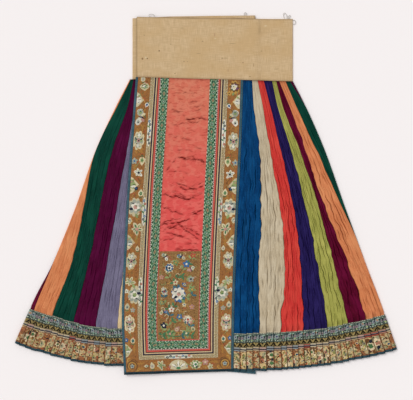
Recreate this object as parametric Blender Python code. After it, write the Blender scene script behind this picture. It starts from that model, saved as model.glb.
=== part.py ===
# Wrapped pleated skirt with an embroidered front panel, laid flat.
#
# One long waistband is folded round twice, so the cloth lies in three layers: the back on the floor,
# then the left pleats and the plain inner panel, then the front panel and the right pleats.
# X runs across the skirt, Y from the hem up to the waist, Z up from the floor.
# Sizes are in millimetres and are turned into metres where a vertex is placed.

import math

import bmesh
import bpy
from mathutils import Vector

MM = 0.001

# Cloth, ribbons and the gaps that sewn pieces keep
CLOTH = 2.0
BAND_CLOTH = 1.8
RIBBON = 0.9
GAP = 0.3
SEAM_TRIM = 0.2
RIBBON_GAP = 0.4
LAYER = CLOTH + GAP
STACK = RIBBON + RIBBON_GAP

# Folds at the two sides, and how soon a layer settles beside a fold
FOLD_RADIUS = 2.9
BAND_FOLD_RADIUS = 2.2
FOLD_SETTLE = 20.0
BAND_SETTLE = 8.0

# Pleats: their height at the waist and at the hem, and what the front panel leaves of it
PLEAT_WAIST = 1.0
PLEAT_HEM = 3.2
PRESSED = 0.4
PRESS_START = 27.0
PRESS_LENGTH = 15.0
PLEAT_FULL = 0.5
PLEAT_RUN = 12.0
CREST = 0.75
FOLD_STEPS = (0.25, 0.5, CREST)
SCALLOP = 1.5
SCALLOP_POWER = 8

# Length of the pleated cloth, from the waist seam to the hem
SKIRT_LENGTH = 770.0

# Fractions of the way down from waist to hem that the side tables give
DOWN = (0.0, 0.1, 0.25, 0.45, 0.65, 0.872, 1.0)
RIGHT_FOLD = (231, 269, 317, 369, 421, 475, 507)
LEFT_FOLD = (-203, -242, -294, -346, -403, -469, -509)

# Hem beside the front panel: its lowest height, its rise, where the rise starts and over what run
RIGHT_HEM = (-470.6, 57.0, 103.0, 404.0)
LEFT_HEM = (-459.0, 61.7, -195.0, -313.0)

# Gores outward from the panel: name, pleats, then how far along the cloth the gore's far edge lies
# from the crest of the fold at each fraction down. Past the fold, on the back, it is negative.
# Gores with no edge of their own share the rest of the back evenly.
RIGHT_GORES = (
    ("blue", 4, (111, 144, 177, 226, 283, 335, 366)),
    ("beige", 3, (96, 119, 148, 172, 215, 278, 306)),
    ("coral", 4, (80, 98, 119, 137, 170, 218, 245)),
    ("navy", 4, (58, 79, 91, 105, 127, 154, 176)),
    ("olive", 4, (47, 64, 67, 70, 82, 99, 112)),
    ("maroon", 3, (39, 46, 51, 55, 47, 51, 52)),
    ("orange", 3, (22, 27, 23, 9, -3, -8, -10)),
    ("green", 3, (10, 2, -8, -22, -42, -62, -68)),
    ("plum", 3, None),
    ("grey", 3, None),
    ("cream", 3, None),
)
LEFT_GORES = (
    ("cream", 4, (27, 67, 110, 150, 186, 234, 271)),
    ("grey", 4, (19, 53, 84, 109, 140, 176, 204)),
    ("plum", 4, (12, 34, 46, 66, 92, 117, 130)),
    ("green", 4, (4, 5, 1, 23, 48, 60, 58)),
    ("orange", 3, (-10, -16, -22, -14, 1, 12, 12)),
    ("maroon", 3, None),
    ("olive", 3, None),
    ("navy", 3, None),
    ("coral", 3, None),
    ("beige", 3, None),
    ("blue", 3, None),
)

# Gores whose pleats go round the fold, so that they need more lines across
RIGHT_ROUND = ("orange", "green")
LEFT_ROUND = ("orange", "maroon")

# Hem border from the gores down to the hem: piece, width
HEM_BORDER = (
    ("floral_ribbon", 25.0),
    ("zigzag_ribbon", 11.0),
    ("stripe_braid", 12.0),
    ("brown_ribbon", 45.5),
    ("binding", 6.5),
)

# Where the border and its brown ribbon start, and where the rows above begin to turn level with the hem
BORDER_START = 1.0 - sum(width for _, width in HEM_BORDER) / SKIRT_LENGTH
BROWN_START = 1.0 - sum(width for _, width in HEM_BORDER[-2:]) / SKIRT_LENGTH
BORDER_TURN = 0.65
LIFT_RUN = 13.0
INNER_LEAD = 0.01
TOP_LEAD = 0.025
FRONT_LEAD = 0.03

# Front panel: height of the row, its left edge, its right edge
PANEL_EDGES = (
    (304, -187, 98),
    (148, -199, 93),
    (-8, -210, 86),
    (-164, -218, 79),
    (-320, -224, 74),
    (-476, -218, 72),
)
PANEL_EDGE_BEYOND = 6
PANEL_FOOT = (-480.9, -471.9)
PANEL_WIDTH = 293.0
PANEL_LENGTH = 781.0
PANEL_RISE = 2.3
PANEL_RISE_FLAT = 62.0
PANEL_RISE_FADE = 75.0

# Front panel's borders from the edge inward: piece, width down the sides, width along the foot
PANEL_BORDER = (
    ("binding", 6.5, 7.0),
    ("brown_ribbon", 34.5, 31.0),
    ("speckled_braid", 12.0, 11.5),
    ("coral_braid", 16.0, 15.0),
    ("green_ribbon", 21.5, 22.0),
)
PANEL_MIDDLE_COLUMNS = 4
PANEL_TOP_ROWS = 7
SQUARE_HEIGHT = 234.0
SQUARE_MARGIN = 2.0
SQUARE_LINES = (32.0, 120.0)

# Panels that lie underneath
INNER_LEFT = -158.0
INNER_RIGHT = 131.0
INNER_FOOT_LEFT = -455.0
INNER_FOOT_RIGHT = -479.6
INNER_BINDING = 6.5
INNER_COLUMNS = 4
BACK_COLUMNS = 4
BACK_ROWS = 10
BACK_TOP = 301.0
BACK_FOOT = -464.0
BACK_LEFT = (-112.0, -43.0)
BACK_RIGHT = (175.0, 255.0)
STEP_START = 12.0
STEP_RUN = 25.0

# Waistband: its folds, free ends, and the heights of its edges
BAND_LEFT = -196.0
BAND_RIGHT = 230.0
BAND_FREE_END = -184.5
BAND_INNER_END = 130.0
BAND_TOPS_INNER = (472.6, 471.4, 469.8, 465.5)
BAND_TOP_LEFT = 465.0
BAND_TOP_BACK = 464.1
BAND_TOP_RIGHT = 463.1
BAND_TOPS_FREE = (463.1, 463.2, 463.3, 463.4, 464.6, 465.6, 467.6, 468.8)
BAND_TURN = (1.0, 0.6, 0.2, -0.2, -0.6, -1.0)
BAND_STEP_LEAD = 24.0
BAND_STEP_START = 15.0
BAND_STEP_RUN = 11.0
BAND_ROWS = 4
FRONT_SEAM = (303.7, -0.0263)
BACK_SEAM = (300.6, -0.0125)
INNER_SEAM = (303.0, 0.0)

COLOURS = {
    "band": "c8ac82",
    "thread": "d8d4cc",
    "blue": "003e6e",
    "beige": "c3b698",
    "coral": "ce3e3a",
    "navy": "2a1e52",
    "olive": "969b4e",
    "maroon": "550526",
    "orange": "d07a4c",
    "green": "124838",
    "plum": "550034",
    "grey": "6e687a",
    "cream": "e0c494",
    "damask": "de6256",
    "gold": "a68a4c",
    "binding": "2f5666",
    "floral_ribbon": "74807a",
    "zigzag_ribbon": "5a4a28",
    "stripe_braid": "b48a7c",
    "brown_ribbon": "a66a32",
    "speckled_braid": "c9b48a",
    "coral_braid": "c8604e",
    "green_ribbon": "3f7a52",
}
SILK_ROUGHNESS = 0.55
BAND_ROUGHNESS = 0.85

DOWN_ROWS = (0.0, 0.04, 0.1, 0.18, 0.28, 0.38, 0.48, 0.56, 0.64, 0.74)


# Plain helpers

def smooth(value):
    """Rise from 0 to 1 with level ends."""
    value = min(1.0, max(0.0, value))
    return value * value * (3.0 - 2.0 * value)


def lerp(first, second, share):
    return first + (second - first) * share


def curve(places, values, place):
    """Value at a place on the smooth curve through a table's values."""
    last = len(places) - 2
    index = max(i for i in range(last + 1) if i == 0 or places[i] <= place)
    slopes = []
    for i in (index, index + 1):
        before = max(i - 1, 0)
        after = min(i + 1, len(places) - 1)
        slopes.append((values[after] - values[before]) / (places[after] - places[before]))
    run = places[index + 1] - places[index]
    s = (place - places[index]) / run
    start = (2 * s ** 3 - 3 * s ** 2 + 1) * values[index] + (s ** 3 - 2 * s ** 2 + s) * run * slopes[0]
    end = (3 * s ** 2 - 2 * s ** 3) * values[index + 1] + (s ** 3 - s ** 2) * run * slopes[1]
    return start + end


def linear(hex_colour):
    """Linear colour of an sRGB hex value."""
    values = []
    for i in (0, 2, 4):
        part = int(hex_colour[i:i + 2], 16) / 255
        values.append(part / 12.92 if part <= 0.04045 else ((part + 0.055) / 1.055) ** 2.4)
    return (values[0], values[1], values[2], 1.0)


def material(name, colour, roughness):
    finish = bpy.data.materials.new(name)
    finish.use_nodes = True
    shader = finish.node_tree.nodes["Principled BSDF"]
    shader.inputs["Base Color"].default_value = linear(colour)
    shader.inputs["Roughness"].default_value = roughness
    shader.inputs["Metallic"].default_value = 0.0
    finish.diffuse_color = linear(colour)
    return finish


def makeCloth(name, colour, columns, rows, place, keep=None, roughness=SILK_ROUGHNESS):
    """Bend a flat slab of cells into a wall of cloth. place gives a point from column, row, face."""
    form = bmesh.new()
    bmesh.ops.create_grid(form, x_segments=columns, y_segments=rows, size=0.5)
    for vertex in form.verts:
        column = round((vertex.co.x + 0.5) * columns)
        row = round((0.5 - vertex.co.y) * rows)
        vertex.co = Vector((column, row, 0.0))
    if keep is not None:
        spare = [face for face in form.faces
                 if not keep(int(face.calc_center_median().x), int(face.calc_center_median().y))]
        bmesh.ops.delete(form, geom=spare, context="FACES")
    raised = bmesh.ops.extrude_face_region(form, geom=form.faces[:])
    lower = [item for item in raised["geom"] if isinstance(item, bmesh.types.BMVert)]
    bmesh.ops.translate(form, verts=lower, vec=(0.0, 0.0, -1.0))
    for vertex in form.verts:
        column, row, face = round(vertex.co.x), round(vertex.co.y), round(-vertex.co.z)
        vertex.co = Vector(place(column, row, face)) * MM
    bmesh.ops.triangulate(form, faces=form.faces[:], quad_method="SHORT_EDGE")
    bmesh.ops.recalc_face_normals(form, faces=form.faces[:])
    if form.calc_volume(signed=True) < 0:
        bmesh.ops.reverse_faces(form, faces=form.faces[:])
    mesh = bpy.data.meshes.new(name)
    form.to_mesh(mesh)
    form.free()
    mesh.materials.append(material(name, colour, roughness))
    cloth = bpy.data.objects.new(name, mesh)
    skirt.objects.link(cloth)
    return cloth


# Folds and layers

def overFold(radius, reach, through):
    """Inward distance and height of cloth that runs over a side fold and back under itself."""
    quarter = math.pi * radius / 2
    if reach > quarter:
        return radius + reach - quarter, 2 * radius - through
    if reach < -quarter:
        return radius - reach - quarter, through
    angle = reach / radius
    return radius - (radius - through) * math.cos(angle), radius + (radius - through) * math.sin(angle)


def hemLift(down):
    """Height that the back's ribbons, which face the floor, add below everything in the hem border."""
    return STACK * smooth((down - BORDER_START) * SKIRT_LENGTH / LIFT_RUN + 1.0)


def overInner(x):
    """Height of the inner layer under the front layer, gone past the inner layer's free edge."""
    return LAYER * (1.0 - smooth((x - INNER_RIGHT - STEP_START) / STEP_RUN))


def panelEdge(which, y):
    heights = [-row[0] for row in PANEL_EDGES]
    return curve(heights, [row[which] for row in PANEL_EDGES],
                 min(max(-y, heights[0]), heights[-1] + PANEL_EDGE_BEYOND))


def backEdge(ends, y):
    return lerp(ends[0], ends[1], (BACK_TOP - y) / (BACK_TOP - BACK_FOOT))


def seamHeight(line, x):
    return line[0] + line[1] * min(max(x, BAND_LEFT), BAND_RIGHT)


# Side sections of pleated gores

class Section:
    """The pleated gores of one side, from the panel over the side fold to the back panel."""

    def __init__(self, side, fold, hem, gores, at_fold, top_seam):
        self.side = side
        self.fold = fold
        self.hem = hem
        self.gores = gores
        self.at_fold = at_fold
        self.top_seam = top_seam
        self.known = {}

    def hemHeight(self, x):
        lowest, rise, start, run = self.hem
        past = (x - start) / run
        return lowest + rise * (past if self.side > 0 else max(0.0, past)) ** 2

    def rowHeight(self, x, foot_x, down, on_top):
        """Height of a row. From BORDER_TURN on, it turns to run level with the hem at the thread's foot."""
        seam = seamHeight(self.top_seam if on_top else BACK_SEAM, x) - GAP
        turned = smooth((down - BORDER_TURN) / (BORDER_START - BORDER_TURN))
        return lerp(seam, lerp(self.hemHeight(x), self.hemHeight(foot_x), turned), down)

    def reachOf(self, edge, down, on_top):
        """Distance along the cloth from the fold's crest to a straight or curved panel edge."""
        x = edge(0.0)
        foot_x = x
        for _ in range(4):
            foot_x = edge(self.hemHeight(foot_x))
            x = edge(self.rowHeight(x, foot_x, down, on_top))
        inward = self.side * (curve(DOWN, self.fold, down) - x) - hemLift(down)
        reach = inward + (math.pi / 2 - 1) * FOLD_RADIUS
        return reach if on_top else -reach

    def edges(self, down):
        """Reach of each gore's edges at one row, from the panel to the back panel."""
        if down in self.known:
            return self.known[down]
        if self.side > 0:
            first = self.reachOf(lambda y: panelEdge(2, y) + GAP, down, True)
            last = self.reachOf(lambda y: backEdge(BACK_RIGHT, y) + GAP, down, False)
        else:
            first = self.reachOf(lambda y: INNER_LEFT - GAP, down, True)
            last = self.reachOf(lambda y: backEdge(BACK_LEFT, y) - GAP, down, False)
        found = [first]
        for _, _, table in self.gores:
            if table is not None:
                found.append(curve(DOWN, table, down))
        hidden = sum(1 for gore in self.gores if gore[2] is None)
        start = found[-1]
        for i in range(hidden):
            found.append(lerp(start, last, (i + 1) / hidden))
        self.known[down] = found
        return found

    def stations(self, number):
        """Shares across one gore and the pleat height there: a slow rise, then a steep drop."""
        name, pleats, table = self.gores[number]
        if table is None and name not in self.at_fold:
            return [(0.0, 0.0), (0.5, 0.0), (1.0, 0.0)]
        steps = FOLD_STEPS if name in self.at_fold else (CREST,)
        shares = []
        for pleat in range(pleats):
            shares.append((pleat / pleats, 0.0))
            shares.extend(((pleat + step) / pleats, step / CREST) for step in steps)
        return shares + [(1.0, 0.0)]

    def across(self, station, down, through, trim):
        """Reach, place across the skirt and height of a station's thread, before it settles."""
        number, share, _ = station
        edges = self.edges(down)
        reach = lerp(edges[number] - trim, edges[number + 1] + trim, share)
        inward, height = overFold(FOLD_RADIUS, reach, through)
        return reach, curve(DOWN, self.fold, down) - self.side * (inward + hemLift(down)), height

    def rowPoint(self, station, down, through, trim):
        """A point on one row, in from the cloth's outer face by through, or out where negative."""
        ridge = station[2]
        lift = hemLift(down)
        quarter = math.pi * FOLD_RADIUS / 2
        reach, x, height = self.across(station, down, through, trim)
        foot_x = self.across(station, 1.0, through, trim)[1]
        y = self.rowHeight(x, foot_x, down, reach > 0)
        if reach > quarter:
            settle = smooth((reach - quarter) / FOLD_SETTLE)
            lift = hemLift(down + TOP_LEAD * settle)
            height -= settle * (2 * FOLD_RADIUS - LAYER - CLOTH)
            depth = lerp(PLEAT_WAIST, PLEAT_HEM, smooth(down / PLEAT_FULL))
            depth *= smooth((reach - quarter) / PLEAT_RUN)
            if self.side > 0:
                height += overInner(x)
            else:
                covered = smooth((x - panelEdge(1, y) + PRESS_START) / PRESS_LENGTH)
                depth *= lerp(1.0, PRESSED, covered)
            height += ridge * depth
            y -= SCALLOP * ridge * down ** SCALLOP_POWER
        return x, y, height + lift

    def point(self, station, down, through, trim=0.0):
        """A point of the cloth. Its border is straight from its top row to the hem."""
        if down <= BORDER_START:
            return self.rowPoint(station, down, through, trim)
        top = self.rowPoint(station, BORDER_START, through, trim)
        foot = self.rowPoint(station, 1.0, through, trim)
        share = (down - BORDER_START) / (1.0 - BORDER_START)
        return tuple(lerp(first, second, share) for first, second in zip(top, foot))


def makeGore(section, number, label):
    """One gore: a wall from the waist seam to the binding, over the fold where it reaches it."""
    name = section.gores[number][0]
    foot = 1.0 - (HEM_BORDER[-1][1] + GAP) / SKIRT_LENGTH
    rows = DOWN_ROWS + (BORDER_START - LIFT_RUN / SKIRT_LENGTH, BORDER_START, BROWN_START, foot)
    shares = section.stations(number)

    def place(column, row, face):
        share, ridge = shares[column]
        return section.point((number, share, ridge), rows[row], CLOTH * face, SEAM_TRIM)

    makeCloth(label + "_gore_" + name, COLOURS[name], len(shares) - 1, len(rows) - 1, place)


def makeHemBorder(section, label):
    """The ribbons sewn over the gores' feet, and the binding that closes the hem."""
    across = []
    for number in range(len(section.gores)):
        shares = section.stations(number)
        across.extend((number, share, ridge) for share, ridge in shares[:-1])
    across.append((len(section.gores) - 1, 1.0, 0.0))
    start = sum(width for _, width in HEM_BORDER)
    for name, width in HEM_BORDER:
        last = name == "binding"
        top = 1.0 - (start - GAP / 2) / SKIRT_LENGTH
        foot = 1.0 if last else 1.0 - (start - width + GAP / 2) / SKIRT_LENGTH
        start -= width
        rows = (top, foot)
        inner = CLOTH if last else -RIBBON_GAP

        def place(column, row, face, rows=rows, inner=inner):
            return section.point(across[column], rows[row], lerp(-STACK, inner, face))

        makeCloth(label + "_hem_" + name, COLOURS[name], len(across) - 1, 1, place)


# Panels

def makeBackPanel():
    def place(column, row, face):
        y = lerp(BACK_TOP - GAP, BACK_FOOT, row / BACK_ROWS)
        x = lerp(backEdge(BACK_LEFT, y), backEdge(BACK_RIGHT, y), column / BACK_COLUMNS)
        if row == 0:
            y = seamHeight(BACK_SEAM, x) - GAP
        return x, y, CLOTH * face

    makeCloth("back_panel", COLOURS["damask"], BACK_COLUMNS, BACK_ROWS, place)


def innerPoint(x, share, face):
    foot = lerp(INNER_FOOT_LEFT, INNER_FOOT_RIGHT, (x - INNER_LEFT) / (INNER_RIGHT - INNER_LEFT))
    y = lerp(INNER_SEAM[0] - GAP, foot, share)
    return x, y, LAYER + hemLift(share + INNER_LEAD) + CLOTH * (1 - face)


def makeInnerPanel():
    """The plain panel at the inner end of the wrap, and the binding on its free edge and foot."""
    foot = 1.0 - INNER_BINDING / SKIRT_LENGTH
    shares = (0.0, 0.25, 0.5, 0.7, BORDER_START - LIFT_RUN / SKIRT_LENGTH, BORDER_START, foot, 1.0)
    columns = INNER_COLUMNS
    rows = len(shares) - 2
    edge = INNER_RIGHT - INNER_BINDING
    across = [lerp(INNER_LEFT, edge, step / columns) for step in range(columns + 1)] + [INNER_RIGHT]

    def place(column, row, face):
        x = across[column] - (GAP if column == columns else 0.0)
        share = shares[row] - (GAP / SKIRT_LENGTH if row == rows else 0.0)
        return innerPoint(x, share, face)

    def placeBinding(column, row, face):
        return innerPoint(across[column], shares[row], face)

    makeCloth("inner_panel", COLOURS["beige"], columns, rows, place)
    makeCloth("inner_panel_binding", COLOURS["binding"], columns + 1, rows + 1, placeBinding,
              keep=lambda column, row: column == columns or row == rows)


def panelLines():
    """Lines across and down the front panel where its borders meet, in millimetres of cloth."""
    sides = [0.0]
    feet = [0.0]
    for _, side, foot in PANEL_BORDER:
        sides.append(sides[-1] + side)
        feet.append(feet[-1] + foot)
    middle = [lerp(sides[-1], PANEL_WIDTH - sides[-1], step / PANEL_MIDDLE_COLUMNS)
              for step in range(1, PANEL_MIDDLE_COLUMNS)]
    across = sides + middle + [PANEL_WIDTH - side for side in reversed(sides)]
    square_top = feet[-1] + SQUARE_HEIGHT + 2 * SQUARE_MARGIN
    upward = feet + [feet[-1] + line for line in SQUARE_LINES] + [square_top]
    upward += [lerp(square_top, PANEL_LENGTH, (step + 1) / PANEL_TOP_ROWS) for step in range(PANEL_TOP_ROWS)]
    return across, upward


def panelPoint(across, upward, out):
    """A point of the front panel, out from its upper face where out is positive."""
    share = across / PANEL_WIDTH
    down = 1.0 - upward / PANEL_LENGTH
    x = 0.0
    y = 0.0
    for _ in range(4):
        foot = lerp(PANEL_FOOT[0], PANEL_FOOT[1], share)
        y = lerp(seamHeight(FRONT_SEAM, x) - GAP, foot, down)
        x = lerp(panelEdge(1, y), panelEdge(2, y), share)
    lift = hemLift(down + FRONT_LEAD)
    rise = (PANEL_RISE + lift) * (1.0 - smooth((across - PANEL_RISE_FLAT) / PANEL_RISE_FADE))
    return x, y, 2 * LAYER + CLOTH + lift + rise + out


def makeFrontPanel():
    """The damask ground, then each border in turn, out from the ground's own points."""
    across, upward = panelLines()
    columns = len(across) - 1
    rows = len(upward) - 1
    count = len(PANEL_BORDER)

    def cellDepth(column, row):
        """Number of the border that a cell belongs to, counted inward from the edge."""
        return min(column, columns - 1 - column, rows - 1 - row, count)

    def place(column, row, face):
        side = across[column]
        height = upward[rows - row]
        if column == 1:
            side += GAP
        if column == columns - 1:
            side -= GAP
        if row == rows - 1:
            height += GAP
        return panelPoint(side, height, -CLOTH * face)

    makeCloth("front_panel", COLOURS["damask"], columns, rows, place,
              keep=lambda column, row: cellDepth(column, row) > 0)

    for number, (name, _, _) in enumerate(PANEL_BORDER):
        def placeBorder(column, row, face, number=number):
            side = across[column]
            height = upward[rows - row]
            inset = GAP / 2
            if 0 < column < columns:
                outer = column == number
                inner = column == number + 1
                far_outer = column == columns - number
                far_inner = column == columns - number - 1
                side += inset * ((1 if outer or far_inner else 0) - (1 if inner or far_outer else 0))
            if row < rows:
                height += inset * ((1 if row == rows - number else 0) - (1 if row == rows - number - 1 else 0))
            thick = -CLOTH if number == 0 else GAP
            return panelPoint(side, height, lerp(STACK, thick, face))

        makeCloth("front_panel_" + name, COLOURS[name], columns, rows, placeBorder,
                  keep=lambda column, row, number=number: cellDepth(column, row) == number)


def makeSquare():
    """The embroidered square on the damask, above the foot's borders."""
    across, upward = panelLines()
    count = len(PANEL_BORDER)
    columns = PANEL_MIDDLE_COLUMNS
    rows = len(SQUARE_LINES) + 1

    def place(column, row, face):
        side = across[count + column]
        height = upward[count + rows - row]
        side += SQUARE_MARGIN * ((column == 0) - (column == columns))
        height += SQUARE_MARGIN * ((row == rows) - (row == 0))
        return panelPoint(side, height, lerp(STACK, GAP, face))

    makeCloth("front_panel_square", COLOURS["gold"], columns, rows, place)


# Waistband

def bandStations():
    """Stations along the strip, from its inner end to its free end.

    Each gives the fold that it is measured from, that fold's side, its distance along the cloth from
    the fold's crest, the height of the top edge, and whether the inner panel can lift it."""
    quarter = math.pi * BAND_FOLD_RADIUS / 2
    slack = quarter - BAND_FOLD_RADIUS
    inner = BAND_INNER_END - BAND_LEFT + slack
    middle = (BAND_RIGHT - BAND_LEFT) / 2 + slack
    free = BAND_RIGHT - BAND_FREE_END + slack
    edge = BAND_RIGHT - INNER_RIGHT
    step = edge - BAND_STEP_START
    turn = [quarter * share for share in BAND_TURN]
    stations = []

    def run(fold, side, reaches, tops, lifted=False):
        stations.extend((fold, side, reach, top, lifted) for reach, top in zip(reaches, tops))

    run(BAND_LEFT, -1, (inner, inner * 0.6, inner * 0.3, quarter + BAND_SETTLE), BAND_TOPS_INNER)
    run(BAND_LEFT, -1, turn, [BAND_TOP_LEFT] * len(turn))
    run(BAND_LEFT, -1, (-middle * 0.5, -middle), (BAND_TOP_BACK, BAND_TOP_BACK))
    run(BAND_RIGHT, 1, (-middle * 0.5,), (BAND_TOP_BACK,))
    run(BAND_RIGHT, 1, turn[::-1], [BAND_TOP_RIGHT] * len(turn))
    run(BAND_RIGHT, 1, (quarter + BAND_SETTLE, edge - BAND_STEP_LEAD, step, step + BAND_STEP_RUN, edge * 1.8,
                        edge * 3, edge * 3.6, free), BAND_TOPS_FREE, True)
    return stations


def makeBand():
    """The long folded strip: inner end, left fold, back, right fold, and the free end in front."""
    stations = bandStations()
    quarter = math.pi * BAND_FOLD_RADIUS / 2

    def place(column, row, face):
        fold, side, reach, top, lifted = stations[column]
        inward, height = overFold(BAND_FOLD_RADIUS, reach, BAND_CLOTH * face)
        x = fold - side * inward
        if reach > quarter:
            settled = smooth((reach - quarter) / BAND_SETTLE)
            height -= settled * (2 * BAND_FOLD_RADIUS - LAYER - BAND_CLOTH)
        if lifted:
            height += LAYER * smooth((INNER_RIGHT + BAND_STEP_START - x) / BAND_STEP_RUN)
        if side < 0 and reach > 0:
            seam = seamHeight(INNER_SEAM, x)
        else:
            seam = seamHeight(FRONT_SEAM if reach > 0 else BACK_SEAM, x)
        return x, lerp(top, seam, row / BAND_ROWS), height

    makeCloth("waistband", COLOURS["band"], len(stations) - 1, BAND_ROWS, place, roughness=BAND_ROUGHNESS)


# Thread loops

# Name, edge of the band, foot x, foot y, foot width, width, height, lean, level
LOOPS = (
    ("loop_left", "top", -144.0, 468.5, 12.0, 20.0, 7.0, -2.0, 5.5),
    ("loop_middle", "top", 103.0, 472.8, 4.0, 9.0, 7.4, 1.0, 3.2),
    ("loop_right_long", "top", 211.0, 464.0, 6.0, 13.0, 15.0, -3.0, 3.2),
    ("loop_right_short", "top", 218.0, 464.0, 3.0, 6.0, 9.0, 4.0, 3.2),
    ("loop_corner", "right", 230.2, 455.0, 9.0, 14.0, 9.0, 0.0, 2.2),
)
THREAD_RADIUS = 0.8
LOOP_POINTS = 15
LOOP_SEAT = 0.3
LOOP_SWELL = 0.8
LOOP_ROUND = 0.9
LOOP_SQUASH = 0.8


def makeLoop(name, edge, foot_x, foot_y, foot_width, width, height, lean, level):
    """A loop of cotton cord whose two ends meet the band's edge."""
    cord = bpy.data.curves.new(name, "CURVE")
    cord.dimensions = "3D"
    cord.bevel_depth = THREAD_RADIUS * MM
    cord.bevel_resolution = 1
    cord.use_fill_caps = True
    spline = cord.splines.new("POLY")
    spline.points.add(LOOP_POINTS - 1)
    for index in range(LOOP_POINTS):
        turn = math.pi * index / (LOOP_POINTS - 1)
        swell = lerp(foot_width, width, math.sin(turn) ** LOOP_SWELL) / 2
        along = -math.cos(turn) * swell + lean * math.sin(turn)
        out = THREAD_RADIUS * LOOP_SEAT + height * math.sin(turn) ** LOOP_ROUND
        if edge == "top":
            x, y = foot_x + along, foot_y + out
        else:
            x, y = foot_x + out * LOOP_SQUASH, foot_y + along
        spline.points[index].co = (x * MM, y * MM, level * MM, 1.0)
    cord.materials.append(material(name, COLOURS["thread"], BAND_ROUGHNESS))
    skirt.objects.link(bpy.data.objects.new(name, cord))


def clearScene():
    for item in list(bpy.data.objects):
        bpy.data.objects.remove(item, do_unlink=True)


clearScene()
skirt = bpy.data.collections.new("embroidered_skirt")
bpy.context.scene.collection.children.link(skirt)

right = Section(1, RIGHT_FOLD, RIGHT_HEM, RIGHT_GORES, RIGHT_ROUND, FRONT_SEAM)
left = Section(-1, LEFT_FOLD, LEFT_HEM, LEFT_GORES, LEFT_ROUND, INNER_SEAM)

makeBand()
for loop in LOOPS:
    makeLoop(*loop)
makeBackPanel()
makeInnerPanel()
for section, label in ((right, "right"), (left, "left")):
    for number in range(len(section.gores)):
        makeGore(section, number, label)
    makeHemBorder(section, label)
makeFrontPanel()
makeSquare()
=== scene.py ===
# Wrapped pleated skirt with an embroidered front panel, laid flat and seen from above.
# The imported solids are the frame. Thin cloth is laid on them, then ribbons, motifs and sewing.
# X runs across the skirt, Y from the hem up to the waist, Z up from the floor.
# Sizes are in millimetres, and are turned into metres where a vertex is placed.

from math import atan2, cos, degrees, dist, exp, pi, radians, sin

import bmesh
import bpy
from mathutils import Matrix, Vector, noise


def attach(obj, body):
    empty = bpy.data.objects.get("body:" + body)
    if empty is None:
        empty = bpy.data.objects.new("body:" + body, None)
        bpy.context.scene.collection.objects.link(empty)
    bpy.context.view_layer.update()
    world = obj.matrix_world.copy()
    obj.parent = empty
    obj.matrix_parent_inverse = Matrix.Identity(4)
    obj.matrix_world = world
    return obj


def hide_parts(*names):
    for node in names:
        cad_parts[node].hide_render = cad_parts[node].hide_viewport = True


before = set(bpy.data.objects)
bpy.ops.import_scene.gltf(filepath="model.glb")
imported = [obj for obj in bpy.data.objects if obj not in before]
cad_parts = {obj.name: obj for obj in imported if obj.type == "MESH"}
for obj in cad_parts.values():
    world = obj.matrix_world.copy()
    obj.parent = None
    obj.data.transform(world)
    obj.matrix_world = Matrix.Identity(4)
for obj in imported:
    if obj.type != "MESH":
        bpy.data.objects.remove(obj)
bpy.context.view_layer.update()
bpy.ops.object.select_all(action="DESELECT")
print("frame loaded:", len(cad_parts), "nodes")

mm = 0.001

# Photo's view: straight down, 2.66 mm of skirt to a pixel
view = {
    "width": 1.0986,  # metres of skirt across the picture
    "centre": (0.0007, -0.0176),
    "lens": 100,
    "sensor": 36,
}


def addObject(name, data):
    made = bpy.data.objects.new(name, data)
    bpy.context.scene.collection.objects.link(made)
    return made


def makeCamera():
    camera = bpy.data.cameras.new("overhead")
    camera.lens = view["lens"]
    camera.sensor_width = view["sensor"]
    camera.clip_end = 20
    stand = addObject("overhead", camera)
    height = view["width"] * view["lens"] / view["sensor"]
    stand.location = (view["centre"][0], view["centre"][1], height)
    bpy.context.scene.camera = stand


makeCamera()

# Plain helpers


def smooth(value):
    value = min(1, max(0, value))
    return value * value * (3 - 2 * value)


def lerp(first, second, share):
    return first + (second - first) * share


def hump(distance, width):
    return exp(-(distance / width) ** 2)


def waver(*place):
    return noise.noise(Vector(place))


# Value at a place on the smooth curve through a table's values
def curve(places, values, place):
    last = len(places) - 2
    index = 0
    while index < last and places[index + 1] <= place:
        index += 1
    slopes = []
    for i in (index, index + 1):
        before = max(i - 1, 0)
        after = min(i + 1, len(places) - 1)
        slopes.append((values[after] - values[before]) / (places[after] - places[before]))
    run = places[index + 1] - places[index]
    s = (place - places[index]) / run
    start = (2 * s ** 3 - 3 * s ** 2 + 1) * values[index] + (s ** 3 - 2 * s ** 2 + s) * run * slopes[0]
    end = (3 * s ** 2 - 2 * s ** 3) * values[index + 1] + (s ** 3 - s ** 2) * run * slopes[1]
    return start + end


# The way a line of points runs at one of them
def aheadAt(points, index):
    return points[min(index + 1, len(points) - 1)] - points[max(index - 1, 0)]


# Cuts the run from first to last into steps of about that size
def stepsBetween(first, last, step):
    count = max(1, round(abs(last - first) / step))
    return [lerp(first, last, i / count) for i in range(count + 1)]


# Joins runs of steps, each with its first place, its last place and its step
def stepsAlong(*runs):
    found = []
    for first, last, step in runs:
        found = found[:-1] + stepsBetween(first, last, step)
    return found


def linear(hexColour):
    values = []
    for i in (0, 2, 4):
        part = int(hexColour[i:i + 2], 16) / 255
        values.append(part / 12.92 if part <= 0.04045 else ((part + 0.055) / 1.055) ** 2.4)
    return (values[0], values[1], values[2], 1)


# A repeatable number from 0 to 1 for each counted thing
def chance(first, second=0, third=0):
    return 0.5 + 0.5 * noise.cell(Vector((first * 1.37 + 0.5, second * 2.71 + 0.5, third * 3.3 + 0.5)))


# Materials

finishes = {}
waveScale = 0.314  # a Wave node's scale for one rib in a millimetre


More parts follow.
